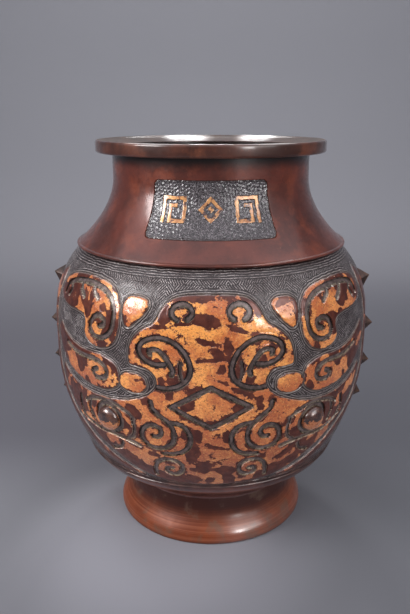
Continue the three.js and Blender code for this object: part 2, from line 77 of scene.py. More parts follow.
def curve(radius_at, low, high, count, wall=0.0):
    """Points on an outline: its radius less a wall, at evenly spaced heights."""
    z = np.linspace(low, high, count)
    return np.column_stack([radius_at(z) - wall, z])


def eased(points, radius, count=5):
    """A closed path whose corners are worn round: each is replaced by the quadratic curve that
    leaves the corner's first side, and meets its second, at one radius from the corner."""
    before, after = np.roll(points, 1, 0), np.roll(points, -1, 0)
    length_in = np.linalg.norm(points - before, axis=1, keepdims=True)
    length_out = np.linalg.norm(after - points, axis=1, keepdims=True)
    start = points + (before - points) / length_in * np.minimum(radius, 0.4 * length_in)
    end = points + (after - points) / length_out * np.minimum(radius, 0.4 * length_out)
    t = np.linspace(0, 1, count)[None, :, None]
    bends = start[:, None] * (1 - t) ** 2 + 2 * points[:, None] * t * (1 - t) + end[:, None] * t ** 2
    heading_in, heading_out = (points - before) / length_in, (after - points) / length_out
    is_corner = (heading_in * heading_out).sum(1) < 0.94
    return np.vstack([bend if turns else point[None] for bend, turns, point in zip(bends, is_corner, points)])


def add_mesh(name, points, faces, smooth_below=35):
    """A mesh object from its points and four-sided faces, smooth except over sharper edges."""
    mesh = bpy.data.meshes.new(name)
    mesh.from_pydata(points, [], faces)
    mesh.polygons.foreach_set("use_smooth", np.ones(len(mesh.polygons), bool))
    mesh.set_sharp_from_angle(angle=np.radians(smooth_below))
    piece = bpy.data.objects.new(name, mesh)
    bpy.context.scene.collection.objects.link(piece)
    return piece


def grid_faces(rows, columns, close_rows=False, close_columns=False):
    """Four-sided faces of a grid whose points run row by row, closed on itself where asked."""
    index = np.arange(rows * columns).reshape(rows, columns)
    if close_rows:
        index = np.vstack([index, index[:1]])
    if close_columns:
        index = np.hstack([index, index[:, :1]])
    corners = [index[:-1, :-1], index[1:, :-1], index[1:, 1:], index[:-1, 1:]]
    return np.stack(corners, -1).reshape(-1, 4)


def around(radius, angle):
    """Points at a radius and an angle: radius times sine to +X, and radius times cosine to -Y."""
    return radius * np.sin(angle), -radius * np.cos(angle)


def carried_round(section, angle, pressed=0.0):
    """The points of a section of (radius, height) rows, set round the axis at each angle, and pressed
    in by a depth."""
    x, y = around(section[None, :, 0] - pressed, angle)
    z = np.broadcast_to(section[None, :, 1], x.shape)
    return np.stack([x, y, z], -1).reshape(-1, 3)


def turned(name, section):
    """A ring turned about the axis: its closed section, anticlockwise as radius and height, is
    carried round in even steps."""
    points = carried_round(section, turn_angles)
    return add_mesh(name, points, grid_faces(turn_steps, len(section), True, True))


def foot_outline(z):
    """A half cosine from the widest turn in to the waist, drawn in by a square law below it."""
    t = np.clip((z - foot_widest) / foot_flare, 0, 1)
    heel = foot_heel * np.clip(1 - z / foot_widest, 0, 1) ** 2
    return foot_radius - (foot_radius - waist_radius) * (1 - np.cos(np.pi * t)) / 2 - heel


foot_section = path(
    (plate_radius + solder_gap, 0),
    (foot_radius - foot_heel - foot_underside, 0),
    curve(foot_outline, foot_edge, waist_z, 40),
    (waist_bore + spigot_wall, waist_z),
    (waist_bore + spigot_wall, waist_z + spigot_height),
    (waist_bore, waist_z + spigot_height),
    (waist_bore, waist_z - flange),
    curve(foot_outline, plate_top + ledge_height, waist_z - flange, 16, foot_wall)[::-1],
    (plate_radius - ledge_width, plate_top + ledge_height),
    (plate_radius - ledge_width, plate_top),
    (plate_radius + solder_gap, plate_top),
)
foot = turned("foot", eased(foot_section, foot_ease))


def srgb(red, green, blue):
    """A colour as it looks on a screen, 0 to 255, as linear light with full opacity."""
    value = np.array([red, green, blue]) / 255
    linear = np.where(value <= 0.04045, value / 12.92, ((value + 0.055) / 1.055) ** 2.4)
    return (*linear.tolist(), 1.0)


class Finish:
    """A finish for bronze: one shader, and the nodes that vary it over the surface."""

    def __init__(self, name, **sockets):
        self.material = bpy.data.materials.new(name)
        self.material.use_nodes = True
        self.tree = self.material.node_tree
        self.shader = self.tree.nodes["Principled BSDF"]
        self.place = self.node("TexCoord", output="Object")
        self.set(**sockets)

    def feed(self, socket, value):
        """Links a node's output to a socket, or sets the socket to a plain value."""
        if isinstance(value, bpy.types.NodeSocket):
            self.tree.links.new(value, socket)
        else:
            socket.default_value = value

    def set(self, **sockets):
        """Sets or links the shader's sockets, named with _ for a space."""
        for name, value in sockets.items():
            self.feed(self.shader.inputs[name.replace("_", " ")], value)

    def node(self, kind, inputs=None, output=0, **settings):
        """A node with its settings and inputs, given as its output."""
        made = self.tree.nodes.new("ShaderNode" + kind)
        for name, value in settings.items():
            setattr(made, name, value)
        for name, value in (inputs or {}).items():
            self.feed(made.inputs[name], value)
        return made.outputs[output]

    def noise(self, size, detail=3.0, roughness=0.55, stretch=(1, 1, 1), shift=0.0):
        """Cloudy noise about 0.5, with patches of a size in metres, stretched along X, Y or Z."""
        scale = tuple(1 / size / along for along in stretch)
        spread = self.node("Mapping", {"Vector": self.place, "Scale": scale, "Location": (shift,) * 3})
        inputs = {"Vector": spread, "Scale": 1.0, "Detail": detail, "Roughness": roughness}
        return self.node("TexNoise", inputs)

    def ramp(self, value, low, high, to_low=0.0, to_high=1.0):
        """A value taken smoothly from one range to another, and held at its ends."""
        inputs = {"Value": value, "From Min": low, "From Max": high, "To Min": to_low, "To Max": to_high}
        return self.node("MapRange", inputs, interpolation_type="SMOOTHSTEP")

    def patches(self, low, high, *noise, **shape):
        """Cloudy noise taken smoothly from 0 at a low value to 1 at a high one."""
        return self.ramp(self.noise(*noise, **shape), low, high)

    def math(self, operation, first, second=0.0):
        """One arithmetic step on two values."""
        return self.node("Math", {0: first, 1: second}, operation=operation)

    def times(self, first, second):
        """Two values multiplied."""
        return self.math("MULTIPLY", first, second)

    def ragged(self, value, spread, *noise, **shape):
        """A value with cloudy noise added over a spread, so that an edge set by it runs unevenly."""
        return self.math("ADD", value, self.times(self.noise(*noise, **shape), spread))

    def vector(self, operation, second=(0, 0, 0), output=0, first=None):
        """One step on two places, or on the surface's own place and another."""
        inputs = {0: first or self.place, 1: second}
        return self.node("VectorMath", inputs, output, operation=operation)

    def along(self, axis):
        """How far each place lies along an axis."""
        return self.node("SeparateXYZ", {0: self.place}, axis)

    def mix(self, share, first, second):
        """A colour that goes from the first to the second as the share goes from 0 to 1."""
        return self.node("Mix", {0: share, 6: first, 7: second}, 2, data_type="RGBA")

    def tint(self, colour, share, most, other):
        """A colour taken towards another by a share, and at the most by so much of the way."""
        return self.mix(self.times(share, most), colour, other)

    def relief(self, height_mm):
        """Gives the metal and its wax a fine relief, from a height in millimetres."""
        bump = self.node("Bump", {"Height": height_mm, "Distance": mm})
        self.set(Normal=bump, Coat_Normal=bump)

    def attribute(self, name):
        """A value kept on the mesh's own points."""
        return self.node("Attribute", output="Fac", attribute_name=name)


def copper_finish():
    """Copper brown on the flare, painted dark as shade higher up in the shelter of the waist, with the lathe's fine
    rings outside that painted shade and a dull grey-brown tarnish in places. Only the right side, low down, has kept
    its polish."""
    finish = Finish("copper brown bronze", Metallic=0.2, Coat_Roughness=0.22, Coat_IOR=2.0,
                    Specular_IOR_Level=0.3)
    across, height = finish.along("X"), finish.along("Z")
    warm = finish.mix(finish.patches(0.35, 0.68, 30 * mm, 4), srgb(112, 49, 22), srgb(134, 63, 30))
    # Painted shade: the colour darkens upwards towards the waist, under the belly, and the rings fade out in it
    clear_of_painted_shade = finish.ramp(finish.ragged(height, 8 * mm, 22 * mm, 3, shift=5.0), 31 * mm, 12 * mm)
    brown = finish.mix(clear_of_painted_shade, srgb(62, 29, 22), warm)
    rings = finish.noise(0.8 * mm, 3, stretch=(160, 160, 1))
    streaks = finish.times(finish.ramp(rings, 0.4, 0.66), clear_of_painted_shade)
    toned = finish.tint(brown, streaks, 0.34, srgb(176, 106, 76))
    stain = finish.patches(0.52, 0.68, 16 * mm, 6, 0.62, shift=3.0)
    toned = finish.tint(toned, stain, 0.6, srgb(98, 76, 62))
    heel = finish.ramp(height, 3 * mm, 0.3 * mm)
    kept = finish.ramp(finish.ragged(across, 40 * mm, 20 * mm, 4, shift=8.0), 12 * mm, 42 * mm, 0.1, 1.0)
    low_down = finish.ramp(height, 15 * mm, 8 * mm, 0.2, 1.0)
    finish.set(Base_Color=finish.tint(toned, heel, 0.6, srgb(60, 44, 38)))
    finish.set(Coat_Weight=finish.times(kept, low_down))
    finish.set(Roughness=finish.ramp(finish.noise(5 * mm, 4, shift=7.0), 0.3, 0.7, 0.38, 0.5))
    finish.relief(finish.times(rings, 0.03))
    return finish.material


def dress(piece, material, slot, *nodes):
    """Puts a finish on a piece, which rides on the vase and stands for the given CAD nodes."""
    piece.data.materials.append(material)
    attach(piece, "root")
    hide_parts(*nodes)


dress(foot, copper_finish(), "copper_bronze", "foot_ring")

# Base plate
# A flat bronze disc, let into the foot from below and soldered against its ledge, which closes
# the vase. It was never polished: it is dark and dull, with dried solder round its edge.

plate_edge = 0.4 * mm
plate_hub = 0.3 * mm


def disc(name, section):
    """A disc turned about the axis: an open section from the axis round to the axis again, with
    its two ends closed by a flat face each."""
    count = len(section)
    sides = grid_faces(turn_steps, count, True).tolist()
    low_end = [step * count for step in range(turn_steps)][::-1]
    high_end = [step * count + count - 1 for step in range(turn_steps)]
    return add_mesh(name, carried_round(section, turn_angles), sides + [low_end, high_end])


def plate_finish():
    """Dark dull bronze with cloudy oxide, grey where the solder has run."""
    finish = Finish("dull plate bronze", Metallic=0.5)
    cloud = finish.patches(0.35, 0.7, 16 * mm, 5)
    oxide = finish.mix(cloud, srgb(52, 40, 36), srgb(92, 66, 50))
    from_axis = finish.ragged(finish.vector("LENGTH", output="Value"), 6 * mm, 4 * mm)
    ring = finish.ramp(from_axis, plate_radius - 1 * mm, plate_radius + 3 * mm)
    finish.set(Base_Color=finish.mix(ring, oxide, srgb(120, 116, 112)))
    finish.set(Roughness=finish.ramp(cloud, 0, 1, 0.5, 0.66))
    finish.relief(finish.times(finish.noise(1.5 * mm, 4), 0.12))
    return finish.material


plate_section = path(
    (plate_hub, plate_low), (plate_radius, plate_low), (plate_radius, plate_top), (plate_hub, plate_top))
plate_corners = eased(path(plate_section, (0, plate_low)), plate_edge)
plate_corners = plate_corners[plate_corners[:, 0] > plate_radius - 3 * plate_edge]
plate_path = path(plate_section[:1], plate_corners, plate_section[-1:])
dress(disc("base", plate_path), plate_finish(), "dark_bronze", "base_plate")

# Lower bowl
# The plain casting between the waist and the belly: brown patina, in the belly's shadow. It stands
# on the foot's flange and carries the belly on a spigot of its own.

edge_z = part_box("belly")[0].z
bowl_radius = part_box("lower_bowl")[1].x
bowl_wall = 3.6 * mm
bowl_bore = 91.6 * mm
bowl_sweep = 1.8
flange_slope = 1 * mm


def bowl_outline(z):
    """A quarter sine raised to a power, so that the bowl leaves the waist upright."""
    t = np.clip((z - waist_z) / (edge_z - waist_z), 0, 1)
    return waist_radius + (bowl_radius - waist_radius) * np.sin(np.pi * t / 2) ** bowl_sweep


bowl_entry = waist_bore + spigot_wall + solder_gap
bowl_section = path(
    (bowl_entry, waist_z),
    curve(bowl_outline, waist_z, edge_z, 48),
    (bowl_bore + spigot_wall, edge_z),
    (bowl_bore + spigot_wall, edge_z + spigot_height),
    (bowl_bore, edge_z + spigot_height),
    (bowl_bore, edge_z - flange),
    curve(bowl_outline, waist_z + flange + flange_slope, edge_z - flange - 2 * flange_slope, 24,
          bowl_wall)[::-1],
    (bowl_entry, waist_z + flange),
)
bowl = turned("bowl", bowl_section)


def brown_finish(name, dark, middle, warm, cloud_size, corner_z=1.0, wax=0.8, polish=0.14,
                 dish=0, handled=()):
    """Red-brown patina under old wax: clouds of three browns, with fine pits and hairline rubs, and
    a near-black band of painted shade in the corner under a height. Within the dish's radius the bronze is dull and
    its colour painted darker as shade, but for the handled places, given as (point, reach)."""
    finish = Finish(name, Metallic=0.2, Coat_Weight=wax, Coat_Roughness=polish)
    base = finish.mix(finish.patches(0.34, 0.66, cloud_size, 5, 0.6), dark, middle)
    blush = finish.patches(0.48, 0.7, 0.6 * cloud_size, 6, 0.62, shift=5.0)
    speck = finish.patches(0.54, 0.68, 1.3 * mm, 4, 0.65, shift=2.0)
    worn = finish.patches(0.6, 0.74, 2.6 * mm, 5, 0.7, shift=15.0)
    toned = finish.tint(finish.mix(blush, base, warm), speck, 0.45, dark)
    toned = finish.tint(toned, worn, 0.3, srgb(158, 98, 74))
    # Painted shade: a near-black band just under the corner height, where the rim overhangs
    painted_corner_shade = finish.ramp(finish.along("Z"), corner_z - 11 * mm, corner_z - 1 * mm)
    toned = finish.tint(toned, painted_corner_shade, 0.95, srgb(12, 6, 5))
    rub = finish.noise(2.2 * mm, 4, stretch=(2, 2, 1), shift=9.0)
    rough = finish.ramp(rub, 0.3, 0.72, 0.28, 0.4)
    if dish:
        from_axis = finish.vector("LENGTH", output="Value", first=finish.vector("MULTIPLY", (1, 1, 0)))
        dull = finish.ramp(from_axis, dish + 0.8 * mm, dish - 0.8 * mm)
        for point, reach in handled:
            dull = finish.math("MINIMUM", dull, finish.ramp(finish.vector("DISTANCE", point, "Value"), 0, reach))
        # Painted shade: the dish's colour is darkened; the dullness in roughness, wax and metal is the bronze's own
        toned = finish.tint(toned, dull, 0.75, srgb(28, 15, 11))
        rough = finish.math("MAXIMUM", rough, finish.times(dull, 0.8))
        finish.set(Coat_Weight=finish.ramp(dull, 0, 1, wax, 0.08))
        finish.set(Metallic=finish.ramp(dull, 0, 1, 0.2, 0))
    finish.set(Base_Color=toned, Roughness=rough)
    pits = finish.times(finish.noise(0.7 * mm, 3), 0.02)
    swell = finish.times(finish.noise(14 * mm, 2), 0.12)
    finish.relief(finish.math("ADD", pits, swell))
    return finish.material


bowl_brown = brown_finish(
    "shaded brown bronze", srgb(62, 32, 28), srgb(92, 54, 48), srgb(106, 62, 52), 30 * mm)
dress(bowl, bowl_brown, "brown_bronze", "lower_bowl")

# Belly
# The large casting that carries a beast mask in front and another behind. The mask stands raised
# in flat broad forms with grooves cut in them, gilded and worn back to dark brown, over a sunk
# ground of fine fret lines. It is made here as eight staves side by side, each with its own wall.

shoulder_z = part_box("neck")[0].z
belly_radius = 121.9 * mm
belly_widest_z = edge_z + 86.6 * mm
belly_low_radius = 100.2 * mm
belly_top_radius = 100 * mm
belly_low_swell = 2.14
belly_top_swell = 3.58
belly_wall = 4.2 * mm
shoulder_bore = 90 * mm
staves = 8
stave_columns = 200
stave_rows = 400

# Relief, in millimetres: how far the surfaces lie under the belly's outline, how high lines and
# rings stand over them, how wide these are, and how far they run from a form, groove or lower edge
face_sunk = 0.12
ground_sunk = 1.35
band_sunk = 1.2
groove_sunk = 1.25
groove_wall = 0.65
groove_reach = 9
lip_rise = 0.11
lip_away = 0.6
lip_width = 0.4
edge_slope = 0.9
edge_start = -0.35
edge_wear = 0.3
edge_wear_width = 1.1
contour_rise = 0.45
contour_away = 1.0
contour_width = 0.35
catch_width = 0.34
edge_ring_rise = 1.15
edge_ring_lift = 0.9
edge_ring_width = 0.7
ridge_rise = 0.75
ridge_lift = 4.6
ridge_width = 0.55
line_pitch = 1.4
least_sunk = 0.02
far_away = 1e3

# The masks' drawing: its lowest and highest height, millimetres for one of its degrees, and degrees
# round the belly for one of them
drawing_low = 61.5
drawing_high = 224
degree = 2.05
drawing_spread = 0.975


def belly_outline(z):
    """Full at its widest height, falling off by a power of the distance above and below it."""
    below = np.clip((belly_widest_z - z) / (belly_widest_z - edge_z), 0, 1)
    above = np.clip((z - belly_widest_z) / (shoulder_z - belly_widest_z), 0, 1)
    fall_low = (belly_radius - belly_low_radius) * below ** belly_low_swell
    fall_top = (belly_radius - belly_top_radius) * above ** belly_top_swell
    return belly_radius - fall_low - fall_top


# The mask's right half on the drawing, as points (degrees from its middle, height). The left half
# mirrors it.
face_outline = [
    (-6, 208.6), (0, 208.7), (5, 208.6), (9, 208), (12.3, 206.3), (14.6, 203), (16.2, 198.5), (17.3, 193.5),
    (18.6, 190), (21, 187.2), (23.6, 183.2), (25.5, 178), (26.5, 172), (26.9, 166), (26.5, 161.4), (24, 160.4),
    (20.4, 159.3), (18.4, 156.5), (17.4, 151.8), (17.9, 147), (19.8, 142.3), (23, 138.3), (27, 135), (31, 132.8),
    (38, 131), (46, 131.2), (53, 133.3), (59.5, 137), (64.5, 141), (65.5, 134), (62.5, 122.5), (57, 110),
    (50.5, 99), (44, 90.3), (38, 83), (32, 76.5), (26, 71.3), (20, 68.6), (10, 67), (0, 66.5), (-6, 66.6)]
raised_outlines = [
    # brow drop
    [(20.4, 201), (21.5, 204.5), (24.3, 205.8), (27.3, 205.4), (29.3, 203), (29.8, 199), (29.6, 194),
     (28.9, 189), (27.9, 186), (26.6, 186), (24.3, 190), (21.7, 195.5)],
    # cheek drop
    [(21, 148), (21.8, 152.5), (24.2, 154.8), (27.5, 154.6), (30, 152), (31, 147.5), (29.8, 143),
     (26.8, 140.8), (23.5, 141.5), (21.6, 144.3)],
    # horn
    [(30.6, 192), (31.3, 200), (34.5, 207), (40, 210.6), (49, 212), (58, 211.3), (64, 208), (67, 202),
     (66.8, 195.5), (63.5, 191), (58, 188.6), (51, 188), (47, 186), (45.8, 181), (46.2, 175), (45, 170.3),
     (42, 167.4), (38.5, 167), (34.8, 169.5), (32, 175), (30.7, 183)],
    # ear
    [(31.2, 150), (32, 156.5), (35, 160.5), (40, 162.3), (47, 162), (54, 164), (60, 168), (65, 173),
     (67.5, 168), (66, 157), (61, 148), (54, 141.3), (46, 137.6), (38, 137.2), (33.4, 140.5), (31.4, 145)],
    # strap
    [(27, 69.4), (33, 72.6), (40, 78), (46.5, 85), (53, 94), (60, 105), (66, 118), (70, 133), (72, 150),
     (72.6, 170), (72, 190), (70.5, 202), (72, 210), (76, 206), (78, 192), (78.5, 172), (77.5, 152),
     (75, 132), (70.5, 115), (64, 100), (56.5, 88), (48.5, 78), (40, 71), (32, 67.6)]]


def oval(middle, half_width, half_height, start, end, count=15):
    """Points on an oval from one angle to another, in degrees anticlockwise from its right."""
    turn = np.radians(np.linspace(start, end, count))
    return np.column_stack([middle[0] + half_width * np.cos(turn), middle[1] + half_height * np.sin(turn)])


# Grooves as points and half width: crown, crescent with its curl and leaf, shoulder and collar
# scrolls, chin scroll, lines round the eye, temple, horn and ear
grooves = [
    (oval((9.2, 198.2), 3.3, 5, 236, -62), 1.35),
    ([(14.6, 163.9), (17.4, 163.2), (20.3, 165), (22.4, 168.6), (23, 173), (21.8, 177.6), (19, 180.6),
      (15.5, 181.5), (12, 179.3), (9, 174.5), (7.2, 168.5), (6.4, 162), (6.9, 156), (8.7, 151.3),
      (11.3, 148.4), (14.6, 147.2), (17.4, 147.6)], 1.5),
    ([(19.2, 170.2), (19.4, 172.4), (17.6, 173.6), (15.6, 171.8), (14, 168), (12.8, 164), (12, 160),
      (12.3, 157)], 1.2),
    ([(9.4, 166), (9.7, 160), (9.2, 155), (8.6, 152)], 0.8),
    ([(19.8, 136.4), (19.3, 131.4), (17, 126.8), (14.5, 122.6), (12.9, 118), (12.3, 112), (12.9, 106),
      (14.8, 101.8), (17.6, 99.6), (20.8, 100.2), (23.2, 103.4), (24.1, 108.4), (23.4, 113.8),
      (21.5, 117.4), (19.1, 118.5), (17.2, 116.4), (16.8, 112.6), (17.9, 109.6), (19.6, 109.4)], 1.25),
    ([(14.2, 121.8), (10.4, 121), (8, 117.4), (6.9, 111.4), (7.2, 104.8), (9.2, 99), (12.6, 96),
      (16.4, 95.2)], 1.25),
    ([(21.2, 73.5), (20.9, 80), (19.4, 86.3), (16.4, 90), (13, 89.8), (10.8, 86.5), (10.5, 81.2), (12, 77),
      (14.7, 76), (16.5, 78.6), (16, 81.6), (14.2, 82.4)], 1.09),
    (oval((37, 115.8), 5.3, 10.6, 0, 360, 30), 1.17),
    ([(26.9, 120.5), (29.5, 125), (34, 128.4), (39, 129), (44, 127), (48.5, 122.5)], 0.94),
    ([(27.2, 120), (26.7, 113), (27.6, 106), (30, 102.2)], 0.94),
    ([(25.5, 98.8), (29, 100.8), (35, 102.2), (42, 102.4), (48, 104.6), (53.5, 108.5)], 0.94),
    ([(46, 123), (46.9, 117), (46, 109.5)], 1.09),
    ([(51.6, 124), (52.8, 117), (51.8, 110)], 1.17),
    ([(62.5, 197), (61.5, 203), (57, 206.6), (49, 208), (41, 206.8), (36, 203), (33.4, 196.5), (32.9, 189),
      (33.6, 181.5), (36, 176), (39.4, 174), (42.2, 176), (43.2, 181), (42, 186.6), (39.3, 189), (37, 187.2),
      (37, 183.4), (38.8, 182)], 1.25),
    ([(59.5, 205), (58, 200.5), (59, 196.5)], 1.17),
    ([(52.3, 207), (51, 202.5), (48.6, 198.6)], 1.17),
    ([(44.5, 207), (43.6, 203), (41.2, 199.5)], 1.09),
    ([(58, 161.5), (52, 158), (46, 157.4), (41, 157.6), (37.2, 154.6), (36.2, 149.6), (38, 145.4),
      (41.4, 145.2), (42.6, 148.8), (40.6, 151.2)], 1.17),
    ([(33, 97), (34.5, 92), (38.5, 88.4)], 0.94)]
lozenge_half_width = 12.7
lozenge_half_height = 14.9
lozenge_height = 134.1
lozenge_groove = 1.3

# Places where the gilding of the front mask has gone, as (degrees, millimetres up, half width in
# degrees, half height, tilt in degrees)
bare_places = [
    (-7, 206.4, 8.5, 2.2, 0), (-15, 196.5, 2.2, 7, 0), (-9.5, 191.2, 3.4, 1.4, 0), (-1.4, 193.6, 5, 4.4, -8),
    (-5.8, 195.6, 2.4, 2.4, 0), (9, 187.4, 3.8, 2, -22), (13.6, 184.6, 2, 1.4, 0), (-1.2, 179.8, 3.8, 1.8, -16),
    (2.4, 171.6, 3.2, 3, -35), (-1.4, 167.8, 5, 1.1, 0), (5.4, 176, 1.5, 6, 0), (3.6, 161.6, 1.4, 3.4, 0),
    (9, 161.4, 2, 7, 0), (15.6, 167, 2.4, 3.8, 0), (12.2, 154, 1.7, 3.6, 0), (19.4, 174, 1.4, 3.4, 0),
    (-20.8, 169.2, 2.3, 5.2, 0), (-16.4, 164.6, 1.4, 4, 20), (-11.4, 152.4, 2.3, 5.2, 0), (-15.6, 152.4, 1.3, 3, 0),
    (-12.8, 143.6, 1.2, 5.6, 0), (-22.4, 187.6, 1.6, 2.4, 0), (-16.8, 188.4, 2.4, 1.3, 10), (4, 152.2, 3.6, 1.3, -28),
    (9.8, 145.4, 5, 1.7, -27), (-5.2, 147.6, 2.6, 1.2, 28), (-7.6, 135.2, 2.3, 4, 0), (9.4, 134.6, 2.5, 3.6, 0),
    (-0.6, 146.4, 2, 1.4, 0), (-0.2, 123.2, 3.6, 1.5, 0), (16.2, 134, 1.2, 2.6, 0), (-26.2, 126.4, 3.8, 4.6, -30),
    (-21.4, 136.4, 1.6, 3, 0), (-4.8, 112.4, 2.3, 5.8, 0), (-6.4, 99, 2.8, 10, 0), (5.4, 112, 1.7, 5, 0),
    (2.2, 102.8, 3.8, 2, -12), (-8.6, 113.6, 1.5, 4.2, 0), (0.6, 118.4, 3.4, 1, 0), (-2.6, 85.4, 3, 5.6, 0),
    (5.2, 82.8, 4, 3.2, 0), (-14.8, 88, 2.4, 3, 0), (13.2, 104.2, 2, 3.2, 0), (27.6, 91.2, 4.4, 2.6, 20),
    (24, 71, 7, 3, 0), (17.6, 92.4, 2.6, 2.2, 0), (-31.4, 102.6, 6.8, 2.6, -25), (-37.8, 80, 4.2, 7.6, 0),
    (-27.4, 77, 5, 4, -10), (-20.6, 92.6, 3, 2, 0), (15.6, 137.4, 1, 5, 0), (27, 117.6, 2.7, 2.2, 30),
    (32, 82, 3, 4, 0), (12, 205.6, 3.4, 2.6, -25), (15.4, 199, 1.5, 5, 0), (23.8, 203.4, 2.6, 2.4, 20),
    (-56.5, 200, 1.6, 4.6, 20), (-50, 199.4, 1.2, 4, 15), (-44.6, 199.8, 1.2, 4, 10),
    (-63.5, 196, 2.4, 6, 0), (-50.6, 184, 3.2, 4.4, 30), (-37.4, 171.4, 2.2, 2.6, 0), (-33, 180, 1, 5, 0),
    (-58, 158.6, 4, 4.4, 30), (-47.6, 152.6, 3, 3.4, 30), (54, 157, 3.4, 4, -30), (50, 196, 3, 4.4, -20)]


def spline(points, closed=False, per_step=6):
    """A smooth line through points: between two of them, the cubic that leaves and enters each
    along the line that joins its neighbours."""
    p = np.asarray(points, float)
    if closed:
        a, b, c, d = (np.roll(p, shift, 0)[:, None] for shift in (1, 0, -1, -2))
    else:
        q = np.vstack([2 * p[0] - p[1], p, 2 * p[-1] - p[-2]])
        a, b, c, d = q[:-3, None], q[1:-2, None], q[2:-1, None], q[3:, None]
    t = np.linspace(0, 1, per_step, endpoint=False)[None, :, None]
    line = 0.5 * (2 * b + (c - a) * t + (2 * a - 5 * b + 4 * c - d) * t ** 2
                  + (3 * b - a - 3 * c + d) * t ** 3).reshape(-1, 2)
    return np.vstack([line, line[:1] if closed else p[-1:]])


def on_belly(line):
    """A line in degrees and millimetres as millimetres along and up the belly."""
    return np.asarray(line, float) * (degree, 1)


def distance(along, up, line, reach=far_away):
    """The least distance from each place to a line: to its shadow on each short stretch, held
    between the stretch's ends. Places further away than the reach keep the reach."""
    least = np.full(along.shape, float(reach))
    near = (along > line[:, 0].min() - reach) & (along < line[:, 0].max() + reach)
    near &= (up > line[:, 1].min() - reach) & (up < line[:, 1].max() + reach)
    x, y, best = along[near], up[near], least[near]
    for (x0, y0), (x1, y1) in zip(line[:-1], line[1:]):
        dx, dy = x1 - x0, y1 - y0
        share = np.clip(((x - x0) * dx + (y - y0) * dy) / (dx * dx + dy * dy), 0, 1)
        best = np.minimum(best, np.hypot(x - x0 - share * dx, y - y0 - share * dy))
    least[near] = best
    return least


def inside(along, up, line):
    """Whether each place lies inside a closed line: a ray from it crosses the line an odd number
    of times."""
    odd = np.zeros(along.shape, bool)
    for (x0, y0), (x1, y1) in zip(line[:-1], line[1:]):
        if y0 != y1:
            odd ^= ((y0 > up) != (y1 > up)) & (along < (x1 - x0) * (up - y0) / (y1 - y0) + x0)
    return odd


def smooth(value, low, high):
    """0 below a low value and 1 above a high one, with 3t^2 - 2t^3 between them."""
    t = np.clip((value - low) / (high - low), 0, 1)
    return t * t * (3 - 2 * t)


def bead(away, width):
    """The profile of a soft bead or line: a bell curve of the distance from its middle."""
    return np.exp(-(away / width) ** 2)


def ripple(x, y, z, size, seed, waves=18):
    """A gentle random swell between about -1 and 1: sine waves of one length in random directions
    and phases, added up."""
    draw = np.random.default_rng(seed)
    heading = draw.normal(size=(waves, 3))
    heading /= np.linalg.norm(heading, axis=1, keepdims=True)
    phase = draw.uniform(0, 2 * np.pi, waves)
    swells = [np.sin(2 * np.pi / size * (h[0] * x + h[1] * y + h[2] * z) + p) for h, p in zip(heading, phase)]
    return sum(swells) / np.sqrt(waves)


past_middle = -40
face_line = on_belly(np.vstack([
    (past_middle, face_outline[0][1]), spline(face_outline), (past_middle, face_outline[-1][1]),
    (past_middle, face_outline[0][1])]))
raised_lines = [face_line] + [on_belly(spline(points, True)) for points in raised_outlines]
groove_lines = [(on_belly(spline(points)), half_width) for points, half_width in grooves]
lozenge_line = on_belly([
    (lozenge_half_width, lozenge_height), (0, lozenge_height + lozenge_half_height),
    (-lozenge_half_width, lozenge_height), (0, lozenge_height - lozenge_half_height),
    (lozenge_half_width, lozenge_height)])
groove_lines.append((lozenge_line, lozenge_groove))
fret_width = 9 * line_pitch
fret_reach = 2.5 * line_pitch
top_lines = 4.5 * line_pitch
top_line_z = drawing_high - 0.8


def fret_lines(along, up, from_form, from_top):
    """How far each place of the ground lies along the run of fine lines. Near a raised form the
    lines follow it, and near the top they run level. Between them they nest in chevrons, upright
    in one block and lying in the next: the way across plus the way up from the block's middle."""
    shifted = along + 0.5 * fret_width * (np.floor(up / fret_width) % 2)
    over_x = np.abs(shifted % fret_width - fret_width / 2)
    over_z = np.abs(up % fret_width - fret_width / 2)
    upright = (np.floor(shifted / fret_width) + np.floor(up / fret_width)) % 2 == 0
    nested = np.where(upright, up + over_x, along + over_z) / np.sqrt(2) + fret_reach
    return np.where(from_form < fret_reach, from_form, np.where(from_top < top_lines, from_top, nested))


# The finish reads distances up to this many millimetres. The wall's inside has no leaf, and no rubbed edges with
# their painted highlight.
mark_reach = 6
inside_marks = {"gilded": -mark_reach, "inset": mark_reach, "plain": 1}


def cut_grooves(along, up):
    """What the grooves do at each place: how deep it lies in a groove and in a groove's flat bed, and
    how high on a lip beside one, as shares, with the distance outside the nearest groove. The way to
    a groove's middle is counted in whole millimetres, rounded down, so that its walls are cut
    steep and a groove is 2 or 4 mm wide."""
    cut, bed, lip = (np.zeros(along.shape) for _ in range(3))
    from_groove = np.full(along.shape, far_away)
    for line, half_width in groove_lines:
        away = np.floor(distance(along, up, line, groove_reach))
        foot_of_wall = half_width + groove_wall / 2 - away
        cut = np.maximum(cut, smooth(foot_of_wall, 0, groove_wall))
        bed = np.maximum(bed, smooth(foot_of_wall, 0, 2 * groove_wall))
        lip = np.maximum(lip, bead(away - half_width - lip_away, lip_width))
        from_groove = np.minimum(from_groove, away - half_width)
    return cut, bed, lip, from_groove


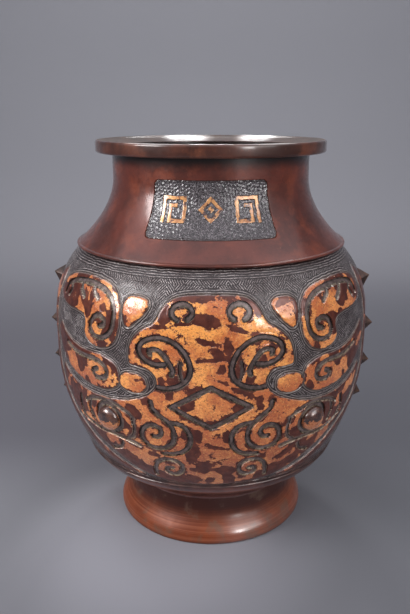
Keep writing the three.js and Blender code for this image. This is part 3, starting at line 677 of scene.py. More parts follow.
def gilt_reach(x, y, z, across, up, behind, inset):
    """How far in from the nearest edge of the leaf each place lies, in millimetres, and negative
    where it is bare. The leaf stops short of the forms' edges by an uneven margin, and random
    flakes have gone from it, more of them at the sides and low down. The bare places drawn above
    are tilted ovals, steep inside, and the other way round behind. In the middle of the front mask
    they are the only ones."""
    margin = 0.5 + 0.95 * ripple(x, y, z, 11 * mm, 5)
    gilded = inset - np.clip(margin, 0.0, None)
    flake = 5.5 * (ripple(x, y, z, 24 * mm, 6) + 0.6 * ripple(x, y, z, 9 * mm, 7) + 0.75)
    bare = smooth(np.abs(across), 46, 62) + 0.8 * smooth(90 - up, 0, 16)
    bare += 0.7 * smooth(np.abs(across), 22, 36) * smooth(140 - up, 0, 24)
    flake = flake - 9 * bare
    drawn = ~behind & (np.abs(across) < 28) & (up > 84)
    gilded = np.minimum(gilded, np.where(drawn, np.maximum(flake, 1.0), flake))
    mirrored = np.where(behind, -across, across)
    steepness = 2.2
    for degrees, height, half_width, half_height, tilt in bare_places:
        dx, dy = (mirrored - degrees) * degree, up - height
        turn = np.radians(tilt)
        right, over = dx * np.cos(turn) + dy * np.sin(turn), dy * np.cos(turn) - dx * np.sin(turn)
        share = np.hypot(right / (half_width * degree), over / half_height) - 1
        gain = np.where(share < 0, steepness, 1.0)
        gilded = np.minimum(gilded, gain * share * min(half_width * degree, half_height))
    return gilded


def mask_relief(x, y, z, angle):
    """The belly's relief on a grid, in millimetres under its outline, with what its finish needs:
    groove and ground as shares, the run of the fine lines, and how far in from its edges the
    gilding reaches. Each form rises over a smooth step at its outline, and each groove is a
    smooth-sided trough along its line. The left and right halves sway a little from each other."""
    side = (np.degrees(angle) + 180) % 360 - 180
    behind = np.abs(side) > 90
    across = np.where(behind, np.sign(side) * 180 - side, side) / drawing_spread
    up = drawing_low + (drawing_high - drawing_low) * (z - edge_z) / (shoulder_z - edge_z)
    sway = smooth(np.abs(across), 2, 25) * smooth(92 - np.abs(across), 0, 15)
    hand = np.where(across < 0, 0.0, 2.0) + np.where(behind, 4.0, 0.0)
    along = np.abs(across) + 0.3 * sway * np.sin(up / 17 + hand)
    lift = up + 0.5 * sway * np.sin(along / 9 + 1.7 * hand)
    along = along * degree

    raised = np.full(x.shape, -far_away)
    for line in raised_lines:
        away = distance(along, lift, line)
        raised = np.maximum(raised, np.where(inside(along, lift, line), away, -away))
    form = smooth(raised, edge_start, edge_start + edge_slope)
    cut, bed, lip, from_groove = cut_grooves(along, lift)
    # The lips under each groove, where they face up: a painted highlight for the finish
    rise = (up[:, 1:] - up[:, :-1]).mean()
    under = np.clip(-np.gradient(from_groove, rise, axis=1), 0, 1)
    catch = form * under * bead(from_groove, catch_width)
    cut, bed = cut * form, bed * form
    from_top = top_line_z - up
    plain = smooth(68.2 - up + 5 * smooth(along / degree, 26, 34), 0, 1.5) * (raised < 0)
    ground = (1 - form) * (1 - smooth(66.2 - up, 0, 1)) * smooth(from_top, -0.2, 0.4)

    contour = bead(raised + contour_away, contour_width) * smooth(up, 69, 72)
    edge_ring = bead(up - drawing_low - edge_ring_lift, edge_ring_width)
    ridge = bead(up - drawing_low - ridge_lift, ridge_width)
    depth = face_sunk + (ground_sunk - face_sunk) * (1 - form)
    depth -= (ground_sunk - band_sunk) * (1 - form) * smooth(67 - up, 0, 2)
    depth += edge_wear * form * np.exp(-np.clip(raised, 0, None) / edge_wear_width)
    depth += groove_sunk * cut - lip_rise * lip * form * (1 - cut)
    depth -= contour_rise * contour
    depth += -edge_ring_rise * edge_ring - ridge_rise * ridge * (1 - form)
    depth += 0.09 * form * ripple(x, y, z, 14 * mm, 3) + 0.04 * ripple(x, y, z, 5 * mm, 4)
    depth = np.clip(depth, least_sunk, None)

    inset = np.minimum(raised, from_groove)
    gilded = gilt_reach(x, y, z, across, up, behind, inset)
    lines = fret_lines(along, up, -raised, from_top) + 0.15 * ripple(x, y, z, 7 * mm, 8)
    return depth, {
        "groove": bed, "ground": ground, "lines": lines, "gilded": np.clip(gilded, -mark_reach, mark_reach),
        "inset": np.clip(np.abs(inset), 0, mark_reach), "plain": plain, "outline": contour, "catch": catch}


belly_path = path(
    curve(belly_outline, edge_z, shoulder_z, stave_rows),
    (shoulder_bore + spigot_wall, shoulder_z),
    (shoulder_bore + spigot_wall, shoulder_z + spigot_height),
    (shoulder_bore, shoulder_z + spigot_height),
    (shoulder_bore, shoulder_z - flange),
    curve(belly_outline, edge_z + flange + flange_slope, shoulder_z - flange - flange_slope, 22,
          belly_wall)[::-1],
    (bowl_bore + spigot_wall + solder_gap, edge_z + flange),
    (bowl_bore + spigot_wall + solder_gap, edge_z),
)


def mark(piece, name, values):
    """Keeps a value at each of a piece's points, for its finish to read."""
    kept = piece.data.attributes.new(name, "FLOAT", "POINT")
    kept.data.foreach_set("value", np.asarray(values, np.float32).ravel())


def stave(number):
    """One stave of the belly: the outline less the relief on a grid of angle and height, the
    plain inside behind it, and both cut ends closed by one flat face."""
    span = 2 * np.pi / staves
    angle = np.linspace(number * span, (number + 1) * span, stave_columns)[:, None]
    x, y = around(belly_path[None, :stave_rows, 0], angle)
    height = np.broadcast_to(belly_path[None, :stave_rows, 1], x.shape)
    depth, marks = mask_relief(x, y, height, np.broadcast_to(angle, x.shape))
    count = len(belly_path)
    pressed = np.zeros((stave_columns, count))
    pressed[:, :stave_rows] = depth * mm
    faces = grid_faces(stave_columns, count, False, True).tolist()
    last = (stave_columns - 1) * count
    ends = [list(range(count))[::-1], list(range(last, last + count))]
    piece = add_mesh(f"belly_stave_{number + 1}", carried_round(belly_path, angle, pressed), faces + ends)
    for name, values in marks.items():
        full = np.full((stave_columns, count), inside_marks.get(name, 0), float)
        full[:, :stave_rows] = values
        mark(piece, name, full)
    return piece


def gilt_finish():
    """Worn gilding on raised forms over dark red-brown, painted salmon and darker as shade low down and at the sides;
    brown-grey grooves with walls painted dark as shade and a painted sheen in the bed, and lips rubbed and painted
    paler as a highlight; and a dark ground of fine paler lines."""
    finish = Finish("gilt relief bronze", Coat_Roughness=0.15, Coat_IOR=1.75)
    groove, ground = finish.attribute("groove"), finish.attribute("ground")
    height = finish.along("Z")

    # The leaf, torn and chipped at its edges, with pinholes and places worn through
    tear = finish.math("SUBTRACT", finish.noise(6 * mm, 6, 0.66, stretch=(1.5, 1.5, 1)), 0.5)
    chips = finish.node("TexVoronoi", {"Vector": finish.place, "Scale": 1 / (2.1 * mm)}, "Color")
    chip = finish.math("SUBTRACT", finish.node("SeparateColor", {0: chips}), 0.5)
    torn = finish.math("ADD", finish.attribute("gilded"), finish.times(tear, 9.5))
    torn = finish.math("ADD", torn, finish.times(chip, 1.3))
    pinholes = finish.patches(0.33, 0.39, 1.0 * mm, 4, 0.6, shift=4.0)
    worn = finish.patches(0.31, 0.36, 3.2 * mm, 6, 0.7, shift=8.0)
    leaf = finish.times(finish.ramp(torn, -0.1, 0.1), finish.times(pinholes, worn))

    # Its colour: yellow above and in front, then painted shade: salmon at the sides and low down, and darker brown at
    # the bottom
    shade = finish.patches(0.4, 0.62, 20 * mm, 4, 0.52)
    gold = finish.mix(shade, srgb(196, 104, 44), srgb(248, 164, 78))
    salmon = finish.mix(shade, srgb(168, 82, 42), srgb(218, 130, 72))
    painted_shade_aside = finish.ramp(finish.math("ABSOLUTE", finish.along("X")), 55 * mm, 95 * mm)
    low = finish.math("MAXIMUM", finish.ramp(height, 165 * mm, 95 * mm), painted_shade_aside)
    gold = finish.tint(gold, low, 0.8, salmon)
    # Painted shade: the gold goes towards a dull brown low down
    gold = finish.mix(finish.ramp(height, 130 * mm, 75 * mm, 0.0, 0.42), gold, srgb(112, 64, 40))
    red = finish.patches(0.45, 0.66, 3 * mm, 6, 0.75, shift=1.0)
    gold = finish.tint(gold, red, 0.5, srgb(178, 88, 40))
    rub = finish.patches(0.5, 0.66, 1.1 * mm, 5, 0.8, stretch=(2, 2, 1), shift=14.0)
    gold = finish.tint(gold, rub, 0.8, srgb(118, 54, 28))
    bright = finish.patches(0.53, 0.66, 1.5 * mm, 5, 0.75, shift=16.0)
    gold = finish.tint(gold, bright, 0.45, srgb(255, 192, 104))

    # The bare bronze, and the grooves: their walls painted dark as shade, their bed a brown-grey with a painted sheen
    fleck = finish.patches(0.58, 0.7, 1.6 * mm, 5, 0.7, shift=12.0)
    brown = finish.mix(finish.patches(0.36, 0.68, 6 * mm, 5, shift=6.0), srgb(78, 31, 21), srgb(106, 49, 31))
    brown = finish.tint(brown, fleck, 0.5, srgb(146, 84, 56))
    sheen = finish.mix(finish.patches(0.35, 0.7, 4 * mm, 4, shift=2.0), srgb(84, 66, 60), srgb(122, 105, 101))
    trough = finish.mix(finish.ramp(groove, 0.66, 1.0), srgb(30, 20, 18), sheen)
    in_groove = finish.ramp(groove, 0.12, 0.3)
    colour = finish.mix(in_groove, finish.mix(leaf, brown, gold), trough)

    # The ground's fine lines, the line round each form and the plain bands
    wander = finish.times(finish.noise(2.5 * mm, 3, shift=17.0), 1.6)
    turns = finish.times(finish.attribute("lines"), 2 * np.pi / line_pitch)
    crest = finish.ramp(finish.math("COSINE", finish.math("ADD", turns, wander)), -0.3, 0.85)
    broken = finish.ramp(finish.noise(2 * mm, 5, 0.7, shift=10.0), 0.34, 0.6, 0.2, 1.0)
    crest = finish.times(crest, broken)
    dust = finish.patches(0.35, 0.65, 12 * mm, 4, shift=3.0)
    lined = finish.mix(crest, srgb(42, 32, 32), finish.mix(dust, srgb(126, 112, 110), srgb(170, 158, 156)))
    lined = finish.mix(finish.attribute("outline"), lined, srgb(128, 115, 108))
    colour = finish.mix(ground, colour, lined)
    band = finish.mix(finish.patches(0.36, 0.66, 9 * mm, 4), srgb(60, 36, 32), srgb(90, 60, 52))
    colour = finish.mix(finish.attribute("plain"), colour, band)

    # Edges paler where rubbed bare and also as a painted highlight, and a painted highlight on the lips under the
    # grooves, which face up to the light
    patchy = finish.patches(0.42, 0.6, 5 * mm, 4, shift=5.0)
    rubbed_and_glint = finish.times(finish.ramp(finish.attribute("inset"), 0.5, 0.1), patchy)
    colour = finish.tint(colour, rubbed_and_glint, 0.5, srgb(150, 132, 116))
    painted_glint = finish.times(finish.attribute("catch"), finish.patches(0.36, 0.56, 3 * mm, 4, shift=9.0))
    finish.set(Base_Color=finish.tint(colour, painted_glint, 0.75, srgb(198, 178, 150)))

    on_face = finish.math("SUBTRACT", 1.0, finish.math("MAXIMUM", in_groove, ground))
    smooth_leaf = finish.times(leaf, on_face)
    finish.set(Metallic=finish.ramp(smooth_leaf, 0, 1, 0.45, 0.14))
    finish.set(Coat_Weight=finish.ramp(smooth_leaf, 0, 1, 0.5, 1.0))
    finish.set(Roughness=finish.ramp(finish.noise(2.5 * mm, 4), 0.3, 0.7, 0.3, 0.46))
    cord = finish.times(finish.times(crest, ground), 0.26)
    film = finish.times(smooth_leaf, 0.07)
    grit = finish.times(finish.noise(0.9 * mm, 4, 0.6), 0.05)
    finish.relief(finish.math("ADD", cord, finish.math("ADD", film, grit)))
    return finish.material


relief_finish = gilt_finish()
for number in range(staves):
    dress(stave(number), relief_finish, "relief_bronze", "belly")

# Eye bosses
# Four smooth domes, cast by themselves and soldered into shallow round seats: the eyes of the two
# masks. Handling has polished them to a dark brown, with a little gilding left low down.

eye_angle = 37 * drawing_spread
eye_radius = 9 * mm
eye_relief = 5.4 * mm
eye_lift = 54
seat_depth = 1.2 * mm
eye_steps = 72


def drawn_height(lift):
    """The height of a place that lies some way above the drawing's lower edge."""
    return edge_z + lift / (drawing_high - drawing_low) * (shoulder_z - edge_z)


eye_z = drawn_height(eye_lift)


def belly_place(angle, z):
    """A point on the belly's outline, with the directions along, up and out of its surface. The
    way out leans with the outline's slope."""
    step = 0.5 * mm
    slope = (belly_outline(z + step) - belly_outline(z - step)) / (2 * step)
    out = np.array([np.sin(angle), -np.cos(angle), 0])
    normal = (out - np.array([0, 0, slope])) / np.hypot(1, slope)
    along = np.array([np.cos(angle), np.sin(angle), 0])
    return out * belly_outline(z) + np.array([0, 0, z]), along, np.cross(normal, along), normal


def boss(name, angle, z, sunk, width, height, section, rim, smooth_below=50):
    """A boss seated some way under the belly's outline: a section of (share of the half size, rise)
    rows is carried round a rim, whose reach at each turn is a share of the half width and half
    height, and closed at its ends."""
    middle, along, up, out = belly_place(angle, z)
    middle = middle - sunk * np.array([np.sin(angle), -np.cos(angle), 0])
    turn = np.linspace(0, 2 * np.pi, len(rim), endpoint=False)[:, None]
    right = rim[:, None] * np.cos(turn) * section[None, :, 0] * width
    over = rim[:, None] * np.sin(turn) * section[None, :, 0] * height
    rise = np.broadcast_to(section[None, :, 1], right.shape)
    points = middle + right[..., None] * along + over[..., None] * up + rise[..., None] * out
    count = len(section)
    sides = grid_faces(len(rim), count, True).tolist()
    back = [step * count for step in range(len(rim))][::-1]
    tip = [step * count + count - 1 for step in range(len(rim))]
    return add_mesh(name, points.reshape(-1, 3), sides + [back, tip], smooth_below)


def eye_finish():
    """Dark brown, polished by handling, with gilding left on the lower part."""
    finish = Finish("dark eye bronze", Metallic=0.35, Coat_Weight=1.0, Coat_Roughness=0.2, Coat_IOR=1.8)
    cloud = finish.patches(0.36, 0.68, 5 * mm, 4)
    brown = finish.mix(cloud, srgb(56, 32, 27), srgb(100, 62, 46))
    height = finish.ragged(finish.along("Z"), 16 * mm, 5 * mm, 6, 0.68, shift=5.0)
    trace = finish.ramp(height, eye_z + 8.4 * mm, eye_z + 7.4 * mm)
    gold = finish.mix(cloud, srgb(196, 116, 70), srgb(222, 146, 90))
    finish.set(Base_Color=finish.tint(brown, trace, 0.85, gold))
    finish.set(Roughness=finish.ramp(finish.noise(2 * mm, 4), 0.3, 0.7, 0.22, 0.36))
    finish.relief(finish.times(finish.noise(1.2 * mm, 4), 0.05))
    return finish.material


dome_turn = np.linspace(0, np.pi / 2 - 0.02, 20)
eye_section = path(
    (1.0, -(seat_depth - solder_gap)),
    np.column_stack([np.cos(dome_turn), eye_relief * np.sin(dome_turn)]))
eye_bronze = eye_finish()
for eye, degrees in [("front_left", -eye_angle), ("front_right", eye_angle),
                     ("back_left", 180 + eye_angle), ("back_right", 180 - eye_angle)]:
    dome = boss("boss_" + eye, np.radians(degrees), eye_z, 0, eye_radius, eye_radius, eye_section,
                np.ones(eye_steps))
    dress(dome, eye_bronze, "dark_bronze", "eye_" + eye)

# Studs
# A row of four pointed lozenge studs down each side, cast by themselves and soldered into seats.
# Their edges and points are rubbed paler than the dark brown around them.

stud_angles = {"left": -87, "right": 81}
stud_half_width = 5.5 * mm
stud_half_height = 7.5 * mm
stud_relief = 6.8 * mm
stud_lifts = [41, 68.5, 99, 135.5]
stud_seat = 1.2 * mm
stud_softness = 1.12
stud_taper = 0.985
stud_steps = 64


def stud_finish():
    """Dark brown, with paler metal rubbed bare towards the point."""
    finish = Finish("dark stud bronze", Metallic=0.35, Coat_Weight=0.3, Coat_Roughness=0.24)
    brown = finish.mix(finish.patches(0.35, 0.7, 4 * mm, 5), srgb(38, 24, 21), srgb(74, 48, 39))
    worn = finish.times(finish.attribute("tip"), finish.patches(0.35, 0.65, 2 * mm, 5, shift=3.0))
    finish.set(Base_Color=finish.tint(brown, worn, 0.6, srgb(132, 96, 72)))
    finish.set(Roughness=finish.ramp(finish.noise(2 * mm, 4), 0.3, 0.7, 0.3, 0.46))
    finish.relief(finish.times(finish.noise(1 * mm, 4), 0.06))
    return finish.material


stud_turn = np.linspace(0, 2 * np.pi, stud_steps, endpoint=False)
stud_reach = np.abs(np.cos(stud_turn)) ** stud_softness + np.abs(np.sin(stud_turn)) ** stud_softness
stud_rim = stud_reach ** (-1 / stud_softness)
stud_way = np.linspace(0, 1, 14)
stud_section = path(
    (1.0, -(seat_depth - solder_gap)),
    np.column_stack([1 - stud_taper * stud_way, stud_relief * stud_way]))
stud_tip = np.clip(stud_section[:, 1] / stud_relief, 0, 1) ** 2
stud_bronze = stud_finish()
for side, degrees in stud_angles.items():
    for number, lift in enumerate(stud_lifts, 1):
        point = boss(f"point_{side}_{number}", np.radians(degrees), drawn_height(lift), stud_seat,
                     stud_half_width, stud_half_height, stud_section, stud_rim)
        mark(point, "tip", np.tile(stud_tip, stud_steps))
        dress(point, stud_bronze, "dark_bronze", f"stud_{side}_{number}")

# Neck
# The waisted neck, cast by itself and set over the belly's spigot, with a skirt whose edge stands
# proud of the belly. It is plain and waxed brown, with a shallow pocket in front for the panel.

mouth_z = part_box("rim_ring")[0].z
skirt_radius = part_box("neck")[1].x
neck_radius = 74 * mm
neck_flare = 49.5 * mm
flare_sweep = 1.93
neck_wall = 4.4 * mm
mouth_bore = 66.5 * mm
skirt_edge = 2 * mm
panel_half_width = 41.5 * mm
panel_half_height = 18.5 * mm
panel_z = shoulder_z + 15 * mm + panel_half_height
panel_corner = 4 * mm
panel_sunk = 0.8 * mm
panel_thickness = 1.4 * mm
pocket_slope = 0.35 * mm
fine_margin = 2 * mm
fine_low = 13 * mm
fine_high = 54 * mm


def neck_outline(z):
    """Straight at the top, flaring out to the skirt by a power of the distance below it."""
    t = np.clip((shoulder_z + neck_flare - z) / neck_flare, 0, 1)
    return neck_radius + (skirt_radius - neck_radius) * t ** flare_sweep


panel_arc = neck_outline(panel_z)


def from_panel(along, up, grow=0.0):
    """Distance outside the panel's rounded oblong, negative within it."""
    over_x = np.abs(along) - (panel_half_width + grow - panel_corner)
    over_z = np.abs(up) - (panel_half_height + grow - panel_corner)
    outside = np.hypot(np.clip(over_x, 0, None), np.clip(over_z, 0, None))
    return outside + np.minimum(np.maximum(over_x, over_z), 0) - panel_corner


# The grid is fine where the pocket lies, and coarser round the neck, above and below
panel_reach = np.degrees((panel_half_width + fine_margin) / panel_arc)
neck_angles = np.radians(np.concatenate([
    np.linspace(-panel_reach, panel_reach, 260), np.linspace(panel_reach, 360 - panel_reach, 160)[1:-1]]))
neck_heights = np.concatenate([
    np.linspace(skirt_edge, fine_low, 16)[:-1],
    np.linspace(fine_low, fine_high, 120)[:-1],
    np.linspace(fine_high, mouth_z - shoulder_z, 10)]) + shoulder_z
neck_entry = shoulder_bore + spigot_wall + solder_gap
skirt_turn = np.linspace(-np.pi / 2, np.pi / 2, 9)
skirt_round = np.column_stack([
    skirt_radius - skirt_edge / 2 + skirt_edge / 2 * np.cos(skirt_turn),
    shoulder_z + skirt_edge / 2 + skirt_edge / 2 * np.sin(skirt_turn)])
skirt_join = neck_outline(skirt_round[:, 1])
skirt_round[:, 0] = np.where(skirt_turn > 0, np.maximum(skirt_round[:, 0], skirt_join), skirt_round[:, 0])
neck_inside_top = mouth_z - flange
inner_heights = np.linspace(shoulder_z + flange, neck_inside_top, 26)
inner_radii = np.minimum(neck_entry, neck_outline(inner_heights) - neck_wall)
neck_inside = path(
    (mouth_bore + spigot_wall, mouth_z),
    (mouth_bore + spigot_wall, mouth_z + spigot_height),
    (mouth_bore, mouth_z + spigot_height),
    (mouth_bore, neck_inside_top),
    np.column_stack([inner_radii, inner_heights])[::-1],
    (neck_entry, shoulder_z),
)
neck_path = path(skirt_round[:-1], np.column_stack([neck_outline(neck_heights), neck_heights]), neck_inside)
pocket_depth = panel_sunk + panel_thickness + solder_gap


def neck_mesh():
    """The neck's section carried round, with its front pressed in by the pocket's depth over a
    smooth step at the panel's outline."""
    angle = neck_angles[:, None]
    outer_count = len(skirt_round) - 1 + len(neck_heights)
    from_front = (angle + np.pi) % (2 * np.pi) - np.pi
    gap = from_panel(from_front * panel_arc, neck_path[None, :, 1] - panel_z, solder_gap)
    pressed = pocket_depth * smooth(-gap, 0, pocket_slope)
    pressed[:, outer_count:] = 0
    points = carried_round(neck_path, angle, pressed)
    return add_mesh("neck_casting", points, grid_faces(len(neck_angles), len(neck_path), True, True), 40)


# The neck's finish paints a near-black band of shade just under the rim.
waxed_brown = brown_finish(
    "waxed brown bronze", srgb(72, 31, 22), srgb(106, 49, 36), srgb(122, 57, 36), 34 * mm, mouth_z)
dress(neck_mesh(), waxed_brown, "brown_bronze", "neck")

# Neck panel
# A curved bronze panel let into the pocket: a dark grey field worked all over with small curls,
# and raised gilt ornament, a square fret either side of a pair of lozenges.

ornament_relief = 0.6 * mm
ornament_half = 8.5 * mm
ornament_bar = 2.4 * mm
ornament_spacing = 25 * mm
ornament_foot = 0.45 * mm
ornament_brow = 0.25 * mm
hand_sway = 0.16 * mm
hand_sway_size = 5 * mm
field_swell = 0.14 * mm
field_swell_size = 2.1 * mm
border_rise = 0.25 * mm
border_outer = 0.9 * mm
border_inner = 1.3 * mm
panel_columns = 300
panel_rows = 136


def bar(along, up, left, right, low, high):
    """Distance outside an oblong bar, negative within it."""
    over_x = np.abs(along - (left + right) / 2) - (right - left) / 2
    over_z = np.abs(up - (low + high) / 2) - (high - low) / 2
    outside = np.hypot(np.clip(over_x, 0, None), np.clip(over_z, 0, None))
    return outside + np.minimum(np.maximum(over_x, over_z), 0)


def square_fret(along, up):
    """Distance outside a square fret: six bars turning inwards."""
    half, w = ornament_half, ornament_bar
    inner = half - 2 * w
    arms = [(-half, -half + w, -half, half), (-half, half, half - w, half), (half - w, half, -half, half),
            (-inner, half, -half, -half + w), (-inner, -inner + w, -half, inner),
            (-inner, inner - w / 2, inner - w, inner)]
    return np.min([bar(along, up, *arm) for arm in arms], 0)


def lozenge_pair(along, up):
    """Distance outside a lozenge ring and the small lozenge in it, measured square to its sides."""
    from_middle = (np.abs(along) + np.abs(up)) / np.sqrt(2)
    outer = ornament_half / np.sqrt(2)
    ring = np.abs(from_middle - outer + ornament_bar / 2) - ornament_bar / 2
    heart = from_middle - (outer - 1.8 * ornament_bar)
    return np.minimum(ring, heart)


def panel_mesh():
    """A grid on the neck's curve, its rows drawn in at the rounded corners: a field with small
    swells, and the ornament raised over a smooth step at its outline."""
    share = np.linspace(-1, 1, panel_columns)[:, None]
    up = np.linspace(-panel_half_height, panel_half_height, panel_rows)[None, :]
    over = np.clip(np.abs(up) - (panel_half_height - panel_corner), 0, None)
    half_width = panel_half_width - panel_corner + np.sqrt(np.clip(panel_corner ** 2 - over ** 2, 0, None))
    along = share * half_width
    flat = 0 * up
    swayed_x = along + hand_sway * ripple(along, up, flat, hand_sway_size, 11)
    swayed_z = up + hand_sway * ripple(along, up, flat, hand_sway_size, 12)
    away = np.min([
        square_fret(swayed_x + ornament_spacing, swayed_z), lozenge_pair(swayed_x, swayed_z),
        square_fret(ornament_spacing - swayed_x, swayed_z)], 0)
    raised = smooth(-away, -ornament_foot, ornament_brow)
    border = smooth(from_panel(along, up), -border_inner, -border_outer)
    field = field_swell * ripple(along, up, flat, field_swell_size, 13)
    sunk = panel_sunk - ornament_relief * raised - border_rise * border * (1 - raised) - field * (1 - raised)
    angle = along / panel_arc
    outline = neck_outline(panel_z + up)
    front_x, front_y = around(outline - sunk, angle)
    back_x, back_y = around(outline - panel_sunk - panel_thickness, angle)
    z = np.broadcast_to(panel_z + up, front_x.shape)
    front = np.stack([front_x, front_y, z], -1).reshape(-1, 3)
    back = np.stack([back_x, back_y, z], -1).reshape(-1, 3)
    count = panel_columns * panel_rows
    faces = grid_faces(panel_columns, panel_rows)
    index = np.arange(count).reshape(panel_columns, panel_rows)
    edge = np.concatenate([index[:-1, 0], index[-1, :-1], index[:0:-1, -1], index[0, :0:-1]])
    following = np.roll(edge, -1)
    walls = np.column_stack([edge, edge + count, following + count, following])
    every = np.vstack([faces[:, ::-1], faces + count, walls[:, ::-1]])
    piece = add_mesh("panel", np.vstack([front, back]), every[:, ::-1], 45)
    for name, values in [("raised", raised), ("border", border)]:
        mark(piece, name, np.concatenate([values.ravel(), np.zeros(count)]))
    return piece


def panel_finish():
    """A dark grey field with small pale curls, and worn gilding on the raised ornament. The curls are
    rings round the cells of a pattern whose places are bent by noise."""
    finish = Finish("matted grey bronze", Metallic=0.4, Coat_Weight=1.0, Coat_Roughness=0.14, Coat_IOR=1.8)
    warp = finish.node("TexNoise", {"Vector": finish.place, "Scale": 420.0, "Detail": 2.0}, "Color")
    bend = (4.2 * mm, 4.2 * mm, 4.2 * mm)
    bent = finish.vector("ADD", finish.vector("MULTIPLY", bend, first=warp))
    cells = finish.node("TexVoronoi", {"Vector": bent, "Scale": 520.0}, "Distance")
    curl = finish.ramp(finish.math("SINE", finish.times(cells, 15.0)), -0.2, 0.8)
    field = finish.mix(curl, srgb(40, 33, 34), srgb(112, 102, 106))
    gold = finish.mix(finish.patches(0.36, 0.66, 4 * mm, 5, 0.65), srgb(170, 106, 58), srgb(226, 164, 100))
    held = finish.patches(0.42, 0.48, 4.5 * mm, 6, 0.66, shift=3.0)
    face = finish.mix(held, srgb(74, 42, 36), gold)
    raised = finish.ramp(finish.attribute("raised"), 0.55, 0.85)
    foot_of_form = finish.ramp(finish.attribute("raised"), 0.02, 0.4)
    field = finish.tint(field, foot_of_form, 0.85, srgb(30, 25, 27))
    edged = finish.mix(finish.ramp(finish.attribute("border"), 0.3, 0.7), field, srgb(58, 46, 46))
    finish.set(Base_Color=finish.mix(raised, edged, face))
    finish.set(Roughness=finish.ramp(finish.noise(1.5 * mm, 4), 0.3, 0.7, 0.3, 0.46))
    matted = finish.times(curl, finish.math("SUBTRACT", 1.0, raised))
    finish.relief(finish.times(matted, 0.16))
    return finish.material


dress(panel_mesh(), panel_finish(), "grey_bronze", "neck_panel")

# Rim ring
# A thick turned ring soldered round the neck's spigot: an upright band with a rounded lip, dished
# on top down to the mouth. It is a browner, darker bronze than the neck, and its lip is rubbed. Its dish is painted
# darker as shade, but for two handled places.

top_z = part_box("rim_ring")[1].z
rim_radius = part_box("rim_ring")[1].x
rim_rounding = 1.8 * mm
rim_lip = 3.4 * mm
lip_drop = 0.3 * mm
lip_flat = 0.3 * mm
dish_depth = 4.5 * mm
dish_sweep = 0.7
rim_entry = mouth_bore + spigot_wall + solder_gap


def quarter(start, end, corner, count=8):
    """A quarter round from one point to another, bulging towards the corner that joins them."""
    turn = np.linspace(0, np.pi / 2, count)[:, None]
    start, end, corner = np.array(start), np.array(end), np.array(corner)
    return corner + (start - corner) * (1 - np.sin(turn)) + (end - corner) * (1 - np.cos(turn))


dish_way = np.linspace(0, 1, 20)[:, None]
dish_edge = np.array([rim_radius - rim_lip, top_z - lip_drop])
dish = dish_edge + np.hstack([
    (rim_entry - dish_edge[0]) * dish_way,
    -(dish_depth - lip_drop) * dish_way ** dish_sweep])
rim_section = path(
    (rim_entry, mouth_z),
    quarter((rim_radius - rim_rounding, mouth_z), (rim_radius, mouth_z + rim_rounding), (rim_radius, mouth_z)),
    quarter((rim_radius, top_z - rim_rounding), (rim_radius - rim_lip / 2, top_z), (rim_radius, top_z)),
    quarter((rim_radius - rim_lip / 2 - lip_flat, top_z), dish[1], dish_edge, 5),
    dish[2:],
)
# The handled places keep their colour and wax; the rest of the dish is painted darker as shade.
handled_places = [((-21 * mm, 76 * mm, top_z), 29 * mm), ((39 * mm, 69 * mm, top_z), 24 * mm)]
rim_brown = brown_finish(
    "rim brown bronze", srgb(58, 29, 20), srgb(88, 46, 32), srgb(102, 55, 36), 30 * mm,
    wax=1.0, polish=0.12, dish=rim_radius - 0.4 * rim_lip, handled=handled_places)
dress(turned("rim", rim_section), rim_brown, "brown_bronze", "rim_ring")

# Studio
# A sheet of pale paper that turns up into a backdrop, and the camera where the photograph was taken
# from, worked out from the rings of the rim, shoulder and foot. Soft boxes stand at the left, the
# right and behind, and two narrow strips behind the vase light the dish of its rim.

picture_width = 410
picture_height = 614
focal_pixels = 659
picture_centre = (210.9, 299)
camera_distance = 1.70 * top_z
camera_height = 1.068 * top_z
camera_dip = np.radians(15.96)
film_size = 36
camera_data = bpy.data.cameras.new("camera")
camera_data.sensor_width = film_size
camera_data.lens = film_size * focal_pixels / picture_height
camera_data.shift_x = (picture_width / 2 - picture_centre[0]) / picture_height
camera_data.shift_y = (picture_centre[1] - picture_height / 2) / picture_height
camera_data.clip_start = 0.01
camera = bpy.data.objects.new("camera", camera_data)
camera.location = (0, -camera_distance, camera_height)
camera.rotation_euler = (np.pi / 2 - camera_dip, 0, 0)
bpy.context.scene.collection.objects.link(camera)
bpy.context.scene.camera = camera


def floor_finish():
    """A matt pale grey paper. The camera, and what is mirrored or seen through glass, meets the tones
    that the photograph's lamps leave on it: darker beside the vase and to the right, paler in front
    and on the backdrop, and palest round the foot. All other light meets one pale grey."""
    finish = Finish("grey paper", Roughness=0.9, Specular_IOR_Level=0.1)
    rays = [finish.node("LightPath", output=f"Is {kind} Ray") for kind in ("Camera", "Glossy", "Transmission")]
    seen = finish.math("MAXIMUM", finish.math("MAXIMUM", rays[0], rays[1]), rays[2])
    back = finish.along("Y")
    tone = finish.mix(finish.ramp(back, 0.12, -0.05), srgb(83, 82, 88), srgb(108, 108, 113))
    tone = finish.mix(finish.ramp(back, 0.35, 1.1), tone, srgb(124, 124, 129))
    tone = finish.mix(finish.ramp(finish.along("Z"), 0.1, 0.6), tone, srgb(138, 138, 143))
    right = finish.times(finish.ramp(finish.along("X"), -0.02, 0.2), finish.ramp(back, 0.9, 0.3))
    tone = finish.tint(tone, right, 0.6, srgb(80, 81, 86))
    from_foot = finish.vector("DISTANCE", (-0.03, -0.07, 0), "Value")
    tone = finish.mix(finish.ramp(from_foot, 0.14, 0.03), tone, srgb(147, 146, 153))
    finish.set(Base_Color=finish.mix(seen, srgb(200, 200, 204), tone))
    return finish.material


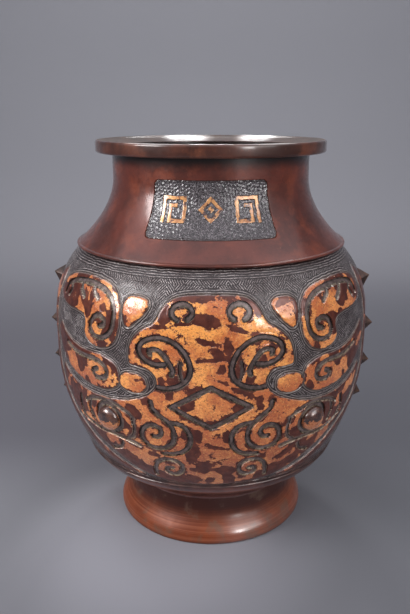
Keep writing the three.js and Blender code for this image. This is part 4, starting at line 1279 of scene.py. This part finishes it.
sheet_front = -2.5
sheet_top = 3
sheet_half_width = 4.0
sweep_start = 0.75
sweep_radius = 0.5
sweep_turn = np.linspace(0, np.pi / 2, 40)
sweep = path(
    (sheet_front, 0),
    np.column_stack([sweep_start + sweep_radius * np.sin(sweep_turn), sweep_radius * (1 - np.cos(sweep_turn))]),
    (sweep_start + sweep_radius, sheet_top))
sheet_sides = np.repeat([[-sheet_half_width], [sheet_half_width]], len(sweep), 1)
floor_points = np.stack([sheet_sides, np.tile(sweep[:, 0], (2, 1)), np.tile(sweep[:, 1], (2, 1))], -1)
floor = add_mesh("floor", floor_points.reshape(-1, 3), grid_faces(2, len(sweep)), 60)
floor.data.materials.append(floor_finish())


lit_height = 0.2


def soft_box(name, away, azimuth, rise, width, height, power):
    """A soft box: an oblong lamp that shines at the vase's upper part from a distance, at an azimuth
    from the front, towards the right, and a rise above level, in degrees."""
    azimuth, rise = np.radians([azimuth, rise])
    out = np.array([np.sin(azimuth) * np.cos(rise), -np.cos(azimuth) * np.cos(rise), np.sin(rise)])
    lamp_data = bpy.data.lights.new(name, "AREA")
    lamp_data.shape = "RECTANGLE"
    lamp_data.size = width
    lamp_data.size_y = height
    lamp_data.energy = power
    lamp = bpy.data.objects.new(name, lamp_data)
    lamp.location = away * out + (0, 0, lit_height)
    lamp.rotation_euler = Vector(-out).to_track_quat("-Z", "Y").to_euler()
    bpy.context.scene.collection.objects.link(lamp)


soft_box("left box", 1.1, -61, 26, 0.5, 0.46, 9)
soft_box("right box", 1.2, 43, 22, 0.8, 0.66, 4.6)
soft_box("low right box", 1.2, 34, 9, 0.2, 0.14, 1.4)
for side, turned_to in [("left", -1), ("right", 1)]:
    soft_box(f"back {side} box", 1.2, turned_to * 138, 57, 0.5, 0.4, 5)
    soft_box(f"back strip {side}", 1.1, turned_to * 177, 40, 0.05, 0.09, 1.6)

# The room: dim at eye level, with light spread over the ceiling
world = bpy.data.worlds.new("studio")
bpy.context.scene.world = world
world.use_nodes = True
room = world.node_tree
background = room.nodes["Background"]
direction = room.nodes.new("ShaderNodeTexCoord").outputs["Generated"]
split = room.nodes.new("ShaderNodeSeparateXYZ")
room.links.new(direction, split.inputs[0])
rise = room.nodes.new("ShaderNodeMapRange")
rise.interpolation_type = "SMOOTHSTEP"
for name, value in {"From Min": 0.1, "From Max": 0.98, "To Min": 0.24, "To Max": 1.7}.items():
    rise.inputs[name].default_value = value
room.links.new(split.outputs[2], rise.inputs["Value"])
room.links.new(rise.outputs["Result"], background.inputs["Strength"])
background.inputs["Color"].default_value = srgb(196, 196, 203)
bpy.context.scene.view_settings.view_transform = "Standard"
